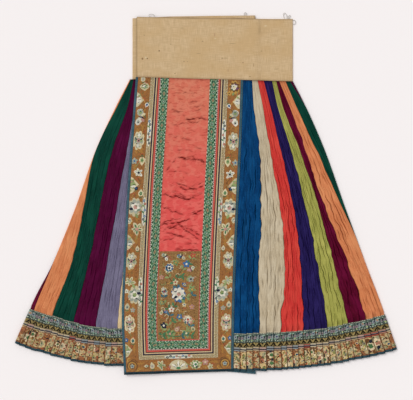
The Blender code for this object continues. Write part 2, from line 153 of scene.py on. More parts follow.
# Starts a material. Of what it gives, add makes a node with its settings and inputs and gives one of its
# outputs, join links an output to the shader, and the last is the cloth's coordinates in millimetres.
def startFinish(name, roughness, gloss):
    finish = bpy.data.materials.new(name)
    finish.use_nodes = True
    tree = finish.node_tree
    shader = tree.nodes["Principled BSDF"]
    shader.inputs["Roughness"].default_value = roughness
    shader.inputs["Specular IOR Level"].default_value = gloss
    finishes[name] = finish

    def add(kind, inputs, out=0, **settings):
        node = tree.nodes.new("ShaderNode" + kind)
        for key, value in settings.items():
            setattr(node, key, value)
        for socket, value in inputs.items():
            if isinstance(value, bpy.types.NodeSocket):
                tree.links.new(value, node.inputs[socket])
            else:
                node.inputs[socket].default_value = value
        return node.outputs[out]

    def join(output, socket):
        tree.links.new(output, shader.inputs[socket])

    return add, join, add("UVMap", {}, uv_map="cloth")


# Uneven marks of a real size across and along the cloth
def marks(add, place, size, detail, distortion=0):
    scaled = add("VectorMath", {0: place, 1: (1 / size[0], 1 / size[1], 1)}, operation="MULTIPLY")
    return add("TexNoise", {"Vector": scaled, "Scale": 1, "Detail": detail, "Distortion": distortion})


# Lays coats of colour over a ground: the share of each, its colour and, if it isn't plain, how it mixes
def dye(add, ground, *coats):
    colours = linear(ground) if isinstance(ground, str) else ground
    for share, colour, *blend in coats:
        colour = linear(colour) if isinstance(colour, str) else colour
        colours = add("Mix", {0: share, 6: colours, 7: colour}, out=2, data_type="RGBA",
                      blend_type=blend[0] if blend else "MIX")
    return colours


# Joins a colour, its fold shadow and its relief to the shader
def endFinish(add, join, colours, relief, depth, shadow="2a2426"):
    fold = add("Attribute", {}, out=2, attribute_name="shade")
    join(dye(add, colours, (fold, shadow, "MULTIPLY")), "Base Color")
    bump = add("Bump", {"Strength": 0.6, "Distance": depth, "Height": relief})
    join(bump, "Normal")


# Plain silk taffeta, hand dyed: streaks along the threads, fine crinkle lines of painted shade,
# faded patches, low gloss
silk = {
    "streak": (1.1, 30),  # threads bunch into streaks about 1 mm wide
    "crinkle": (1.4, 40),
    "fleck": (1.6, 7),
    "patch": (45, 70),
    "lineShade": "5a4c4a",
    "roughness": 0.55,
    "gloss": 0.05,
}


def makeSilk(name, colour, dark, light, shadow, line=0.4):
    add, join, cloth = startFinish(name, silk["roughness"], silk["gloss"])
    streak = marks(add, cloth, silk["streak"], 2)
    crinkle = marks(add, cloth, silk["crinkle"], 1)
    fleck = marks(add, cloth, silk["fleck"], 0)
    patch = marks(add, cloth, silk["patch"], 3)
    streaky = add("MapRange", {0: streak, 1: 0.34, 2: 0.6})
    # Painted shade in the fine crinkle lines
    crinkleShade = add("MapRange", {0: crinkle, 1: 0.4, 2: 0.3, 3: 0, 4: line})
    flecked = add("MapRange", {0: fleck, 1: 0.64, 2: 0.74, 3: 0, 4: 0.45})
    faded = add("MapRange", {0: patch, 1: 0.44, 2: 0.66, 3: 0, 4: 0.45})
    colours = dye(add, dark, (streaky, colour), (faded, light), (flecked, light),
                  (crinkleShade, silk["lineShade"], "MULTIPLY"))
    relief = add("Math", {0: streak, 1: 0.4, 2: crinkle}, operation="MULTIPLY_ADD")
    endFinish(add, join, colours, relief, 0.0006, shadow)


makeSilk("silkBlue", "003f72", "00284f", "125a90", "30343c")
makeSilk("silkBeige", "cbbb9d", "b2a386", "d9ceb5", "705c48")
makeSilk("silkCoral", "d73e38", "b92e2b", "e85a4a", "6a2622")
makeSilk("silkNavy", "241a52", "160e3a", "352b6a", "302a34")
makeSilk("silkOlive", "a8a754", "868a40", "c8c36a", "55492c")
makeSilk("silkMaroon", "5c0526", "3c0014", "781040", "34282c")
makeSilk("silkOrange", "db885a", "c07044", "eba26e", "6e4026")
makeSilk("silkGreen", "073f34", "022c20", "0f5240", "283430")
makeSilk("silkPlum", "500030", "38001e", "600c40", "342830")
makeSilk("silkGrey", "76718a", "5d5970", "8b87a0", "464050")
makeSilk("silkCream", "e3c99b", "c7aa7a", "eddab2", "80623c", line=0.3)
makeSilk("tealBinding", "40606c", "2b464f", "5c7c86", "2c3234", line=0.3)

# Patterned ribbons are woven in bands of small repeats. Each row of a chart is one motif of the repeat:
# colour, period along, place along, place across, half length, half width, and "square" if it isn't round.


# Lays a chart's motifs on a colour
def addChart(add, cloth, colours, chart):
    for colour, period, along, across, halfLength, halfWidth, *form in chart:
        placed = add("VectorMath", {0: cloth, 1: (along, across, 0)}, operation="SUBTRACT")
        near = add("VectorMath", {0: placed, 1: (period / 2, 500, 1),
                   2: (-period / 2, -500, -1)}, operation="WRAP")
        sized = add("VectorMath", {0: near, 1: (1 / halfLength, 1 / halfWidth, 0)}, operation="MULTIPLY")
        if "square" in form:
            positive = add("VectorMath", {0: sized}, operation="ABSOLUTE")
            size = add("VectorMath", {0: positive, 1: (1, 1, 0)}, out=1, operation="DOT_PRODUCT")
        else:
            size = add("VectorMath", {0: sized}, out=1, operation="LENGTH")
        inside = add("MapRange", {0: size, 1: 1.12, 2: 0.88})  # a soft woven edge
        colours = dye(add, colours, (inside, colour))
    return colours


# Brocade ribbon: silk floss over a ribbed ground, soft sheen, slightly raised motifs
ribbon = {
    "rib": 0.9,
    "grain": (1.3, 1.3),
    "mottle": (7, 7),
    "wobble": 0.22,
    "roughness": 0.62,
    "gloss": 0.1,
}


def makeRibbon(name, ground, second, chart, mottle=None, pleatColours=None, band=None, uneven=3):
    add, join, cloth = startFinish(name, ribbon["roughness"], ribbon["gloss"])
    spread = marks(add, cloth, mottle or ribbon["mottle"], 3)
    mixed = add("MapRange", {0: spread, 1: 0.42, 2: 0.6})
    colours = dye(add, ground, (mixed, second))
    if pleatColours:
        along, across, _ = add("SeparateXYZ", {0: cloth}).node.outputs
        pleat = add("Math", {0: along, 1: pleats["clothInEach"]}, operation="DIVIDE")
        count = add("Math", {0: pleat}, operation="FLOOR")
        pick = add("TexWhiteNoise", {"W": count}, noise_dimensions="1D")
        picked = add("ValToRGB", {0: pick})
        picked.node.color_ramp.interpolation = "CONSTANT"
        stops = picked.node.color_ramp.elements
        for index, tint in enumerate(pleatColours):
            stop = stops.new(index / len(pleatColours)) if index else stops[0]
            stop.color = linear(tint)
        stops.remove(stops[-1])
        above = add("Math", {0: across, 1: band[0]}, operation="GREATER_THAN")
        below = add("Math", {0: across, 1: band[1]}, operation="LESS_THAN")
        within = add("Math", {0: above, 1: below}, operation="MULTIPLY")
        colours = dye(add, colours, (within, picked))
    warp = add("TexNoise", {"Vector": cloth, "Scale": ribbon["wobble"], "Detail": 1}, out=1)
    apart = add("VectorMath", {0: warp, 1: (0.5, 0.5, 0.5)}, operation="SUBTRACT")
    handmade = add("VectorMath", {0: apart, 1: (uneven, uneven * 0.7, 0), 2: cloth},
                   operation="MULTIPLY_ADD")
    colours = addChart(add, handmade, colours, chart)
    ribs = add("TexWave", {"Vector": cloth, "Scale": waveScale / ribbon["rib"],
               "Distortion": 0.8, "Detail": 1}, out=1)
    relief = add("Math", {0: spread, 1: 0.8, 2: ribs}, operation="MULTIPLY_ADD")
    grain = marks(add, cloth, ribbon["grain"], 1)
    worn = add("MapRange", {0: grain, 1: 0.38, 2: 0.62, 3: 0.8, 4: 1.12})
    colours = add("VectorMath", {0: colours, "Scale": worn}, operation="SCALE")
    endFinish(add, join, colours, relief, 0.0003)


pleats = {
    "waistHeight": 1,
    "hemHeight": 3.2,
    "pressed": 0.4,  # what the front panel leaves of them
    "pressStart": 27,
    "pressLength": 15,
    "fullAt": 0.5,  # share of the length at which they reach their full height
    "foldFade": 12,  # they start this far from the side fold
    "foldRun": 20,
    "valleyWaves": (46, 36, 24),
    "longFoldShare": 0.4,
    "ridgeShare": 0.9,
    "edge": 0.93,  # share of a pleat at which its cloth turns under
    "scallop": 1.5,
    "scallopPower": 8,
    "narrow": 12,  # a pleat narrower than this strays less
    "wander": 3.3,  # how far a pleat's edge strays sideways
    "wanderWaves": (46, 17),
    "leftHeight": 0.6,  # the left pleats lie flatter, and their valleys are paler
    "leftShade": 0.3,
    "leftWander": 0.4,
    "crinkle": 0.42,
    "crinkleScale": (0.3, 0.06),
    "clothInEach": 31,
    "shown": 16,
    "rowStep": 4.2,
    "hiddenStep": 0.05,
    "ribbonRow": 3,
    "hemSlack": 1.05,
    "leastCut": 0.35,  # a tapered gore's area, at least, as a share of its box
    "cutShare": 0.99,
    "bindingShade": 0.5,
    "ribbonStep": 3,  # how far the ribbons step up or down from one pleat to the next
}


# A band across a ribbon, all along it
def stripe(colour, first, last):
    return (colour, 1e5, 0, (first + last) / 2, 1e6, (last - first) / 2)


# A ring of petals round a centre, for a flower that repeats along a ribbon
def flowerRows(colour, centre, period, along, across, size, petals, turn=0):
    rows = []
    for i in range(petals):
        angle = turn + 2 * pi * i / petals
        rows.append((colour, period, along + size * 0.62 * cos(angle),
                     across + size * 0.62 * sin(angle), size * 0.42, size * 0.42))
    rows.append((centre, period, along, across, size * 0.34, size * 0.34))
    return rows


floralChart = (
    [("c2c2aa", 4.6, 0, 1.4, 1.5, 0.9)] + flowerRows("929a98", "24325c", 21, 4.5, 11, 5.6, 5)
    + flowerRows("96888c", "5e3c4a", 21, 15, 13.5, 4.4, 4, 0.7)
    + [("9cbca4", 21, 9, 6, 3, 1.5), ("8cb09a", 21, 0.2, 17.4, 3, 1.4),
       ("1c332e", 21, 10, 10, 2, 3.4), ("1a3440", 21, 20, 7, 1.8, 2.8),
       ("202e2a", 10.5, 6, 18.6, 2.6, 1.4), ("a8866a", 63, 26, 9.6, 2.6, 2.8),
       ("c0c8b0", 5.7, 2, 21.6, 1.5, 1), ("26342c", 5.7, 4.8, 22.8, 1.3, 1), ("a6b878", 42, 35, 19, 2.4, 2)]
)
makeRibbon("floralRibbon", "495650", "667468", floralChart, mottle=(3, 3))

zigzagChart = [
    ("120c08", 15.5, 0, 10.8, 6.8, 10.4, "square"),
    ("a6905a", 15.5, 0, 11.4, 2.5, 4.6, "square"),
    ("120c08", 15.5, 7.8, 0, 2.6, 5.4, "square"),
    stripe("3c2c1c", 10.2, 11.2), stripe("3a3826", -0.4, 0.9),
]
makeRibbon("zigzagRibbon", "a3905a", "7a6a40", zigzagChart, uneven=3.8)

stripeTints = ("c49c8c", "cfc0a0", "b4806c", "a8503f", "c9b490", "8f989a", "bfa08c", "c2ab88", "b5a47c",
               "a8907a")
makeRibbon("stripeBraid", "8a7c54", "6b6450", [stripe("7c7c78", 4.2, 5.8), stripe("1a2032", 6, 8.6),
           stripe("2c2a26", 11.2, 12.5)], pleatColours=stripeTints, band=(1.6, 11.4), uneven=2.2)

speckledChart = [
    ("d9d0b0", 4.1, 0, 1.6, 1.1, 1), ("d0c4a0", 4.1, 2, 5, 1, 0.9),
    ("d9d0b0", 4.1, 0.6, 9.6, 1.1, 1), ("6e5838", 4.1, 2.2, 3.4, 1.3, 0.9),
    ("6e5838", 4.1, 0.2, 7.2, 1.3, 0.9), ("8fa08a", 11.7, 3, 5.6, 1.1, 0.9),
    ("a86a50", 13.1, 7, 3.6, 1, 0.8), ("6a5436", 4.4, 2, 0, 1.2, 0.8),
]
makeRibbon("speckledBraid", "a8946c", "c0ac80", speckledChart, mottle=(2.5, 2.5), uneven=3.6)

coralChart = [
    stripe("20263a", -0.4, 3.3), stripe("d6bd92", 3.7, 6.6), stripe("4a2620", 6.8, 9),
    stripe("cf5a4b", 9.3, 13.4), ("d6c0b6", 5.6, 0, 15.2, 2, 1.2), ("5a3a38", 5.6, 2.8, 15.2, 0.8, 1.2),
]
makeRibbon("coralBraid", "7c5e54", "86625a", coralChart, uneven=1.2)

# Diamonds in light rings, with a small flower between, and dark dots along both edges
greenChart = [
    ("86a684", 42.5, 0, 10.8, 13.4, 8.3), ("315f48", 42.5, 0, 10.8, 10.8, 6.3),
    ("7c9c78", 42.5, 0, 10.8, 8.4, 5, "square"), ("9c8a66", 42.5, 0, 10.8, 6.2, 3.6, "square"),
    ("6e4c42", 42.5, 0, 10.8, 2.8, 1.6, "square"), ("84a488", 42.5, 21.25, 10.8, 5.6, 5.9),
    ("2c5442", 42.5, 21.25, 10.8, 3.4, 3.4), ("c6ccae", 42.5, 21.4, 10.6, 1.7, 1.4),
    ("1f4634", 21.25, 13.6, 7.2, 3, 1.2), ("1f4634", 21.25, 7.6, 14.6, 3, 1.2),
    ("a08a68", 42.5, 12.4, 10.8, 1.6, 1.7), ("a08a68", 42.5, 30.2, 10.8, 1.6, 1.7),
    ("2c4a60", 42.5, 9.5, 3.6, 2.1, 1.4), ("2c4a60", 42.5, 33, 18, 2.1, 1.4),
    ("9cbd98", 21.25, 10.6, 4.3, 2.4, 1.5), ("9cbd98", 21.25, 10.6, 17.3, 2.4, 1.5),
    ("142220", 21.25, 0, 2.2, 2.4, 1.7), ("142220", 21.25, 0, 19.4, 2.4, 1.7),
    ("d0d2be", 21.25, 4.8, 1.2, 1.9, 1.3), ("d0d2be", 21.25, 16.4, 1.2, 1.9, 1.3),
    ("d0d2be", 21.25, 4.8, 20.4, 1.9, 1.3), ("d0d2be", 21.25, 16.4, 20.4, 1.9, 1.3),
    ("1a3c2c", 21.25, 10.6, 1.1, 1.6, 1.2), ("1a3c2c", 21.25, 10.6, 20.5, 1.6, 1.2),
]
makeRibbon("greenRibbon", "3c6c4c", "5c8258", greenChart, mottle=(2.8, 2.8), uneven=3)

hemChart = [
    ("bca67c", 61, 4, 9, 12, 7), ("8f8e66", 61, 4.6, 9.8, 7, 3.6),
    ("3a2619", 11, 8, 15.5, 2.8, 1), ("c6ae84", 47, 17, 25, 11, 8),
    ("9b9a74", 47, 17, 25, 6.4, 4.4), ("1c2236", 47, 18, 24, 2.4, 1.8),
    ("bca67c", 37, 9, 38, 9, 5.4), ("64785a", 37, 9.6, 38.6, 4.2, 2.4),
    ("94462e", 53, 17, 14, 7, 3), ("bc9a68", 13, 5, 31, 3.4, 1.6),
    ("3a2619", 9, 3, 33, 2.4, 1), ("30221a", 13, 9, 42.5, 2.8, 1.1),
    ("c8aa7c", 11, 1, 2.4, 2.8, 1.4), ("2e4438", 41, 12, 5, 3.2, 1.2),
]
makeRibbon("hemBrocade", "a86c46", "7a5436", hemChart, mottle=(4.6, 5.2), uneven=12)
makeRibbon("panelBrocade", "a56f3c", "91643a", [("aa7a3e", 47, 5, 9, 11, 3.5),
           ("aa7a3e", 59, 25, 24, 12, 4), ("8a6a3a", 13, 5, 16, 3, 1.6),
           ("7a4a2c", 9, 2, 27, 1.6, 1.2), ("b59a68", 7, 2, 5, 1, 0.9)],
           mottle=(6, 6), uneven=12)
makeRibbon("goldGround", "a07a48", "6c5330", [("b08c58", 9, 3, 90, 1.3, 800),
           ("8a5a38", 7.3, 1, 90, 0.9, 800)], mottle=(4, 3.4), uneven=44)

# Figured silk damask: tone on tone sprigs, paler where the light has faded it near the waist,
# and painted shade in its rumples
damask = {
    "sprig": 26,
    "bend": (16, 16, 0),
    "fine": (9, 1.2),
    "patch": (40, 30),
    "rumple": (17, 4.5),
    "fadeFrom": 560,  # up from the foot
    "fadeTo": 860,
    "roughness": 0.55,
    "gloss": 0.08,
}


def makeDamask():
    add, join, cloth = startFinish("damask", damask["roughness"], damask["gloss"])
    warped = add("TexNoise", {"Vector": cloth, "Scale": 0.09, "Detail": 2}, out=1)
    bent = add("VectorMath", {0: warped, 1: damask["bend"], 2: cloth}, operation="MULTIPLY_ADD")
    sprigs = add("TexVoronoi", {"Vector": bent, "Scale": 1 / damask["sprig"] * 2.2}, feature="SMOOTH_F1")
    figured = add("MapRange", {0: sprigs, 1: 0.42, 2: 0.5})
    fine = marks(add, cloth, damask["fine"], 2)
    across = add("SeparateXYZ", {0: cloth}, out=1)
    worn = marks(add, cloth, damask["patch"], 3)
    height = add("Math", {0: worn, 1: 220, 2: across}, operation="MULTIPLY_ADD")
    faded = add("MapRange", {0: height, 1: damask["fadeFrom"], 2: damask["fadeTo"]})
    pale = dye(add, "e5675f", (faded, "d87f65"))
    colours = dye(add, "df5853", (faded, "d5745c"), (figured, pale))
    streaky = add("MapRange", {0: fine, 1: 0.4, 2: 0.62, 3: 0.93, 4: 1.04})
    colours = add("VectorMath", {0: colours, "Scale": streaky}, operation="SCALE")
    rumple = marks(add, cloth, damask["rumple"], 2, 0.8)
    # Painted shade in the rumples of the cloth
    rumpleShade = add("MapRange", {0: rumple, 1: 0.42, 2: 0.34, 3: 0, 4: 0.42})
    colours = dye(add, colours, (rumpleShade, "b05a48", "MULTIPLY"))
    relief = add("Math", {0: rumple, 1: 1.4, 2: fine}, operation="MULTIPLY_ADD")
    endFinish(add, join, colours, relief, 0.0006, shadow="7a2018")


makeDamask()

# Plain woven hemp, matt: threads drawn 1.2 mm apart, about twice their real spacing, so that they show
hemp = {"thread": 1.2, "slub": (24, 1.4), "patch": (70, 50), "roughness": 0.88, "gloss": 0.12}


def makeHemp():
    add, join, cloth = startFinish("hemp", hemp["roughness"], hemp["gloss"])
    alongSlub = marks(add, cloth, hemp["slub"], 2)
    downSlub = marks(add, cloth, hemp["slub"][::-1], 2)
    patch = marks(add, cloth, hemp["patch"], 4)
    warp, weft = (add("TexWave", {"Vector": cloth, "Scale": waveScale / hemp["thread"],
                  "Distortion": 0.6}, out=1, bands_direction=direction) for direction in "XY")
    slubs = add("Math", {0: alongSlub, 1: downSlub}, operation="ADD")
    tone = add("MapRange", {0: slubs, 1: 0.82, 2: 1.18})
    aged = add("MapRange", {0: patch, 1: 0.4, 2: 0.62, 3: 0, 4: 0.6})
    colours = dye(add, "cbad82", (tone, "e0c49a"), (aged, "d0ae7c"))
    # Painted shade between the threads of the weave, a little lighter on their crowns
    weave = add("Math", {0: warp, 1: weft}, operation="MULTIPLY")
    weaveShade = add("MapRange", {0: weave, 1: 0, 2: 0.6, 3: 0.9, 4: 1.03})
    colours = add("VectorMath", {0: colours, "Scale": weaveShade}, operation="SCALE")
    place = add("TexCoord", {}, out=3)
    flat = add("VectorMath", {0: place, 1: (1 / mm, 1 / mm, 0)}, operation="MULTIPLY")
    colours = addChart(add, flat, colours, [(stain[0], noRepeat) + stain[1:] for stain in stains])
    relief = add("Math", {0: slubs, 1: 0.7, 2: weave}, operation="MULTIPLY_ADD")
    endFinish(add, join, colours, relief, 0.0005, shadow="5a4a38")


# Small stains and slubs on the band: colour, x, y, half sizes
stains = (
    ("6f5638", -125, 378.5, 1.7, 1.7), ("997b56", -169.3, 357.5, 2.4, 3),
    ("7f6544", -156.5, 357.8, 1.7, 1.7), ("d8c39c", -160.5, 360.5, 2.6, 2.6),
    ("a68963", 42.5, 359, 2.4, 1.4), ("b0946c", 51, 359, 7, 0.9),
    ("a88b66", -59, 349.8, 1.6, 1.5), ("ae916a", -49.6, 349.8, 1.3, 1.3),
    ("ab8e66", -164.5, 420, 1.5, 1.5), ("b2966e", -94, 396, 2.4, 1.2),
    ("ad9068", -9.7, 403.7, 2.2, 1.5), ("a5885f", -83, 318, 1.8, 1.3),
    ("a98760", 97.5, 346.8, 1.8, 1.6), ("b0926a", 126, 341, 1, 5),
    ("b78f6e", 22.5, 421, 1, 5), ("b3966c", 146.8, 378, 2.4, 1.2),
    ("b58f6c", 58, 326, 0.9, 4), ("a3865e", 116, 310, 1.6, 1.8),
    ("dcc7a0", 158, 445, 3.4, 1.5), ("d6c097", 24, 411, 3.2, 1.4),
    ("b69a70", -64, 439, 5, 1), ("b69a70", 70, 398, 9, 0.8),
    ("b3976d", -20, 371, 6, 0.9), ("b69a70", 186, 330, 6, 0.9),
)
noRepeat = 9000  # a period longer than the band
makeHemp()

# Silk floss and sewing thread, each motif dyed by its own colours, and twisted cotton for the loops
threads = {
    "Cream": "cfc39c", "White": "dedac8", "Blue": "3b6796", "Navy": "161c34", "Green": "47764e",
    "Leaf": "8c9a62", "Pink": "b98a7c", "Gold": "bf9448", "Red": "b0503c", "Grey": "a0a594",
    "Teal": "3a6670", "Plum": "6b3f5e", "Bronze": "6a4a28",
}
floss = {"strand": (1.6, 0.5), "roughness": 0.5, "gloss": 0.2}


# Fine ribs at about twice the real stitch width, so that they show
def makeFloss(name, colour=None):
    add, join, _ = startFinish(name, floss["roughness"], floss["gloss"])
    place = add("TexCoord", {}, out=3)
    strands = marks(add, place, [size * mm for size in floss["strand"]], 1)
    tone = add("MapRange", {0: strands, 1: 0.35, 2: 0.65, 3: 0.74, 4: 1.12})
    if colour is None:
        base = add("Attribute", {}, attribute_name="thread")
        colours = add("VectorMath", {0: base, "Scale": tone}, operation="SCALE")
    else:
        colours = dye(add, "8f8a82", (tone, colour))
    join(colours, "Base Color")
    bump = add("Bump", {"Strength": 0.5, "Distance": 0.0003, "Height": strands})
    join(bump, "Normal")


makeFloss("floss")
makeFloss("cotton", "cfcac2")
print("materials made:", len(finishes))

# The layers of cloth and the surfaces that the solids have
layers = {
    "cloth": 2,
    "bandCloth": 1.8,
    "gap": 0.3,
    "seamTrim": 0.2,
    "ribbonOut": 1.3,  # outer face of a ribbon above the cloth that carries it
    "silkWall": 0.8,
    "ribbonWall": 0.7,
    "bandWall": 1.4,
    "rounded": 0.5,  # how far a binding's edges round off
    "bindingCut": 11,  # width of the strip that is folded over an edge
    "sharp": 62,  # degrees between faces at which an edge of cloth looks sharp
}
layerStep = layers["cloth"] + layers["gap"]
folds = {"radius": 2.9, "settle": 20, "bandRadius": 2.2, "bandSettle": 8}
skirtLength = 770
down7 = (0, 0.1, 0.25, 0.45, 0.65, 0.872, 1)
rightFold = (231, 269, 317, 369, 421, 475, 507)
leftFold = (-203, -242, -294, -346, -403, -469, -509)

# Gores outward from the panel: colour, pleats, reach of the far edge from the fold at each of down7
rightGores = (
    ("blue", 4, (111, 144, 177, 226, 283, 335, 366)),
    ("beige", 3, (96, 119, 148, 172, 215, 278, 306)),
    ("coral", 4, (80, 98, 119, 137, 170, 218, 245)),
    ("navy", 4, (58, 79, 91, 105, 127, 154, 176)),
    ("olive", 4, (47, 64, 67, 70, 82, 99, 112)),
    ("maroon", 3, (39, 46, 51, 55, 47, 51, 52)),
    ("orange", 3, (22, 27, 23, 9, -3, -8, -10)),
    ("green", 3, (10, 2, -8, -22, -42, -62, -68)),
    ("plum", 3, None),
    ("grey", 3, None),
    ("cream", 3, None),
)
leftGores = (
    ("cream", 4, (27, 67, 110, 150, 186, 234, 271)),
    ("grey", 4, (19, 53, 84, 109, 140, 176, 204)),
    ("plum", 4, (12, 34, 46, 66, 92, 117, 130)),
    ("green", 4, (4, 5, 1, 23, 48, 60, 58)),
    ("orange", 3, (-10, -16, -22, -14, 1, 12, 12)),
    ("maroon", 3, None),
    ("olive", 3, None),
    ("navy", 3, None),
    ("coral", 3, None),
    ("beige", 3, None),
    ("blue", 3, None),
)

# Painted shade of the folds, and painted shadow under the waistband at the seams, and their widths in
# millimetres
foldShade = {
    "seam": 0.7,
    "panelBandShadow": 0.5,
    "seamWidth": 4,
    "hemEdge": 0.8,
    "hemEdgeWidth": 0.035,
    "valley": 0.62,
    "longFold": 0.55,
    "lightReach": 3,
}

# The hem's line on each side: its lowest height, how far it rises, where from and over what run
hemLines = {1: (-470.6, 57, 103, 404), -1: (-459, 61.7, -195, 313)}

# Hem border from the gores down: piece, width, finish
hemBorder = (
    ("floral_ribbon", 25, "floralRibbon"),
    ("zigzag_ribbon", 11, "zigzagRibbon"),
    ("stripe_braid", 12, "stripeBraid"),
    ("brown_ribbon", 45.5, "hemBrocade"),
    ("binding", 6.5, "tealBinding"),
)
borderStart = 1 - sum(row[1] for row in hemBorder) / skirtLength
borderTurn = 0.65  # from here down, the rows turn to run level with the hem
# How far before the border the cloth starts to lift over it, and the pleats start to flatten
hemLeads = {"run": 13, "inner": 0.01, "top": 0.025, "front": 0.03, "press": 0.03}

# Front panel: height of the row, its left edge, its right edge
panelEdges = (
    (304, -187, 98),
    (148, -199, 93),
    (-8, -210, 86),
    (-164, -218, 79),
    (-320, -224, 74),
    (-476, -218, 72),
)
panel = {
    "footLeft": -480.9,
    "footRight": -471.9,
    "width": 293,
    "length": 781,
    "rise": 2.3,
    "riseFlat": 62,
    "riseFade": 75,
    "squareHeight": 234,
    "squareMargin": 2,
    "ripple": 0.35,
    "rippleSize": (31, 26),
    "alongStep": 4,
    "creaseStep": 1.8,
    "groundStep": 3,
    "underBorder": (14, 20),
    "underSquare": 10,
    "squareStep": 5,
    "ribbonRow": 4,
    "ribbonCrown": 0.25,
    "bindingRound": 0.7,
    "ribbonShade": 0.6,
    "footShade": 0.75,
}
# Its borders from the edge inward: piece, width down the sides, width along the foot, finish
panelBorder = (
    ("binding", 6.5, 7, "tealBinding"),
    ("brown_ribbon", 34.5, 31, "panelBrocade"),
    ("speckled_braid", 12, 11.5, "speckledBraid"),
    ("coral_braid", 16, 15, "coralBraid"),
    ("green_ribbon", 21.5, 22, "greenRibbon"),
)
bindingSide, bindingFoot = panelBorder[0][1:3]
borderSide = sum(row[1] for row in panelBorder)
borderFoot = sum(row[2] for row in panelBorder)

# Creases across the damask: start x and y, end x and y, depth, half width, how far the middle bows up
creases = (
    (-88, 217, -57, 206, 0.5, 2.8, 1), (-91, 182, -48, 187, 0.5, 2, 0), (-54, 194, 3, 195, 1.2, 2.4, 1.5),
    (-48, 190, -18, 189, 0.6, 1.8, 0), (-35, 227, -4, 230, 0.6, 2.4, 2), (-43, 243, -22, 245, 0.4, 2.2, 0),
    (-75, 95, -4, 84, 1.1, 2.3, 2.5), (-108, 57, -80, 91, 0.9, 2.2, 1), (-82, 18, -51, 9, 1, 2.2, 0),
    (-51, 9, -6, 20, 1.2, 2.4, -1.5), (-110, -2, -35, -15, 1.2, 2.6, -2), (-62, -16, -30, -14, 0.6, 1.8, 0),
    (-118, -35, -62, -58, 1, 2, 0), (-44, -58, -11, -40, 0.9, 2.4, -2), (-118, -84, -44, -69, 1.2, 2.2, 0),
    (-107, -92, -72, -83, 0.9, 2, 0), (-72, -83, -14, -113, 1.2, 2.2, 2),
    (-118, -129, -80, -115, 0.6, 2.4, 0), (-90, -112, -40, -126, 0.5, 2.2, 3),
    (-80, -147, -17, -154, 0.8, 2, 1), (-70, 268, -30, 262, 0.4, 2, 1), (-88, 150, -40, 140, 0.4, 2.2, 1.5),
    (-95, 60, -50, 52, 0.5, 2, 1), (-60, -128, -24, -136, 0.6, 2, -1), (-92, 224, -62, 214, 0.5, 1.8, 1),
    (-40, 221, -12, 226, 0.5, 1.8, -1), (-76, 114, -38, 112, 0.5, 1.8, 0.5),
    (-32, 123, -12, 119, 0.5, 1.8, 0), (-62, 88, -24, 90, 0.8, 1.8, -1), (-26, 93, -5, 79, 0.8, 1.8, 0),
    (-80, 27, -42, 17, 0.8, 1.8, -1), (-42, 19, -8, 28, 0.8, 1.8, -1), (-92, 5, -58, -5, 0.8, 1.8, 0),
    (-36, -8, -10, 1, 0.9, 1.8, -1), (-38, -48, -18, -55, 0.8, 1.8, 0), (-114, -76, -68, -68, 0.8, 1.8, 1),
    (-72, -90, -20, -121, 0.9, 1.8, 2), (-112, -99, -78, -91, 0.8, 1.8, 0),
    (-110, -104, -60, -118, 0.7, 1.8, 2),
)

under = {
    "innerLeft": -158,
    "innerRight": 131,
    "innerFoot": (-455, -479.6),
    "binding": 6.5,
    "backTop": 301,
    "backFoot": -464,
    "backLeft": (-112, -43),
    "backRight": (175, 255),
    "backWidth": 298,
    "backGrid": (40, 100),
    "backCell": (7.4, 7.65),
    "stepStart": 12,
    "stepRun": 25,
    "columnStep": 8,
    "coarse": (0, 0.8, 0.05),  # rows: from, to and step, as shares of the length
    "fineFrom": 0.82,
    "fineStep": 0.01,
    "bindingRows": 3,
    "bindingSteps": (0.02, 0.03),
    "bindingCell": (15, 2.2),
}

band = {
    "left": -196,
    "right": 230,
    "freeEnd": -184.5,
    "innerEnd": 130,
    "topsInner": (472.6, 471.4, 469.8, 465.5),
    "topLeft": 465,
    "topBack": 464.1,
    "topRight": 463.1,
    "topsFree": (463.1, 463.2, 463.3, 463.4, 464.6, 465.6, 467.6, 468.8, 468.8, 468.8),
    "depth": 165,
    "overInner": (-24, -15, -4),  # stations where the outer layer steps over the inner end
    "across": (1.8, 3, 3.6),  # stations on to the free end, as multiples of that reach
    "atEnd": (-3.5, -1.8, 0),
    "columnStep": 6,
    "backLength": 60,
    "rows": 66,
    "stepLead": 15,
    "stepRun": 11,
}
bandShade = {"foot": 0.35, "top": 0.45, "innerTop": 0.12, "covered": 0.75, "innerEnd": 0.4, "freeEnd": 0.6}
frontSeam = (303.7, -0.0263)
backSeam = (300.6, -0.0125)
innerSeam = (303, 0)


# Inward distance and height of cloth that runs over a side fold and back under itself
def overFold(radius, reach, through):
    quarter = pi * radius / 2
    if reach > quarter:
        return radius + reach - quarter, 2 * radius - through
    if reach < -quarter:
        return radius - reach - quarter, through
    angle = reach / radius
    return radius - (radius - through) * cos(angle), radius + (radius - through) * sin(angle)


def hemLift(down):
    return layers["ribbonOut"] * smooth((down - borderStart) * skirtLength / hemLeads["run"] + 1)


# How far the borders press the pleats flat
def pressedAt(down):
    return smooth((down - borderStart + hemLeads["press"]) / hemLeads["press"])


def overInner(x):
    return layerStep * (1 - smooth((x - under["innerRight"] - under["stepStart"]) / under["stepRun"]))


belowTable = 6  # the edges run on this far below their last row
panelRows = [-row[0] for row in panelEdges]
panelSides = {1: [row[1] for row in panelEdges], 2: [row[2] for row in panelEdges]}


def panelEdge(which, y):
    return curve(panelRows, panelSides[which], min(max(-y, panelRows[0]), panelRows[-1] + belowTable))


def backEdge(ends, y):
    return lerp(ends[0], ends[1], (under["backTop"] - y) / (under["backTop"] - under["backFoot"]))


def seamHeight(line, x):
    return line[0] + line[1] * min(max(x, band["left"]), band["right"])


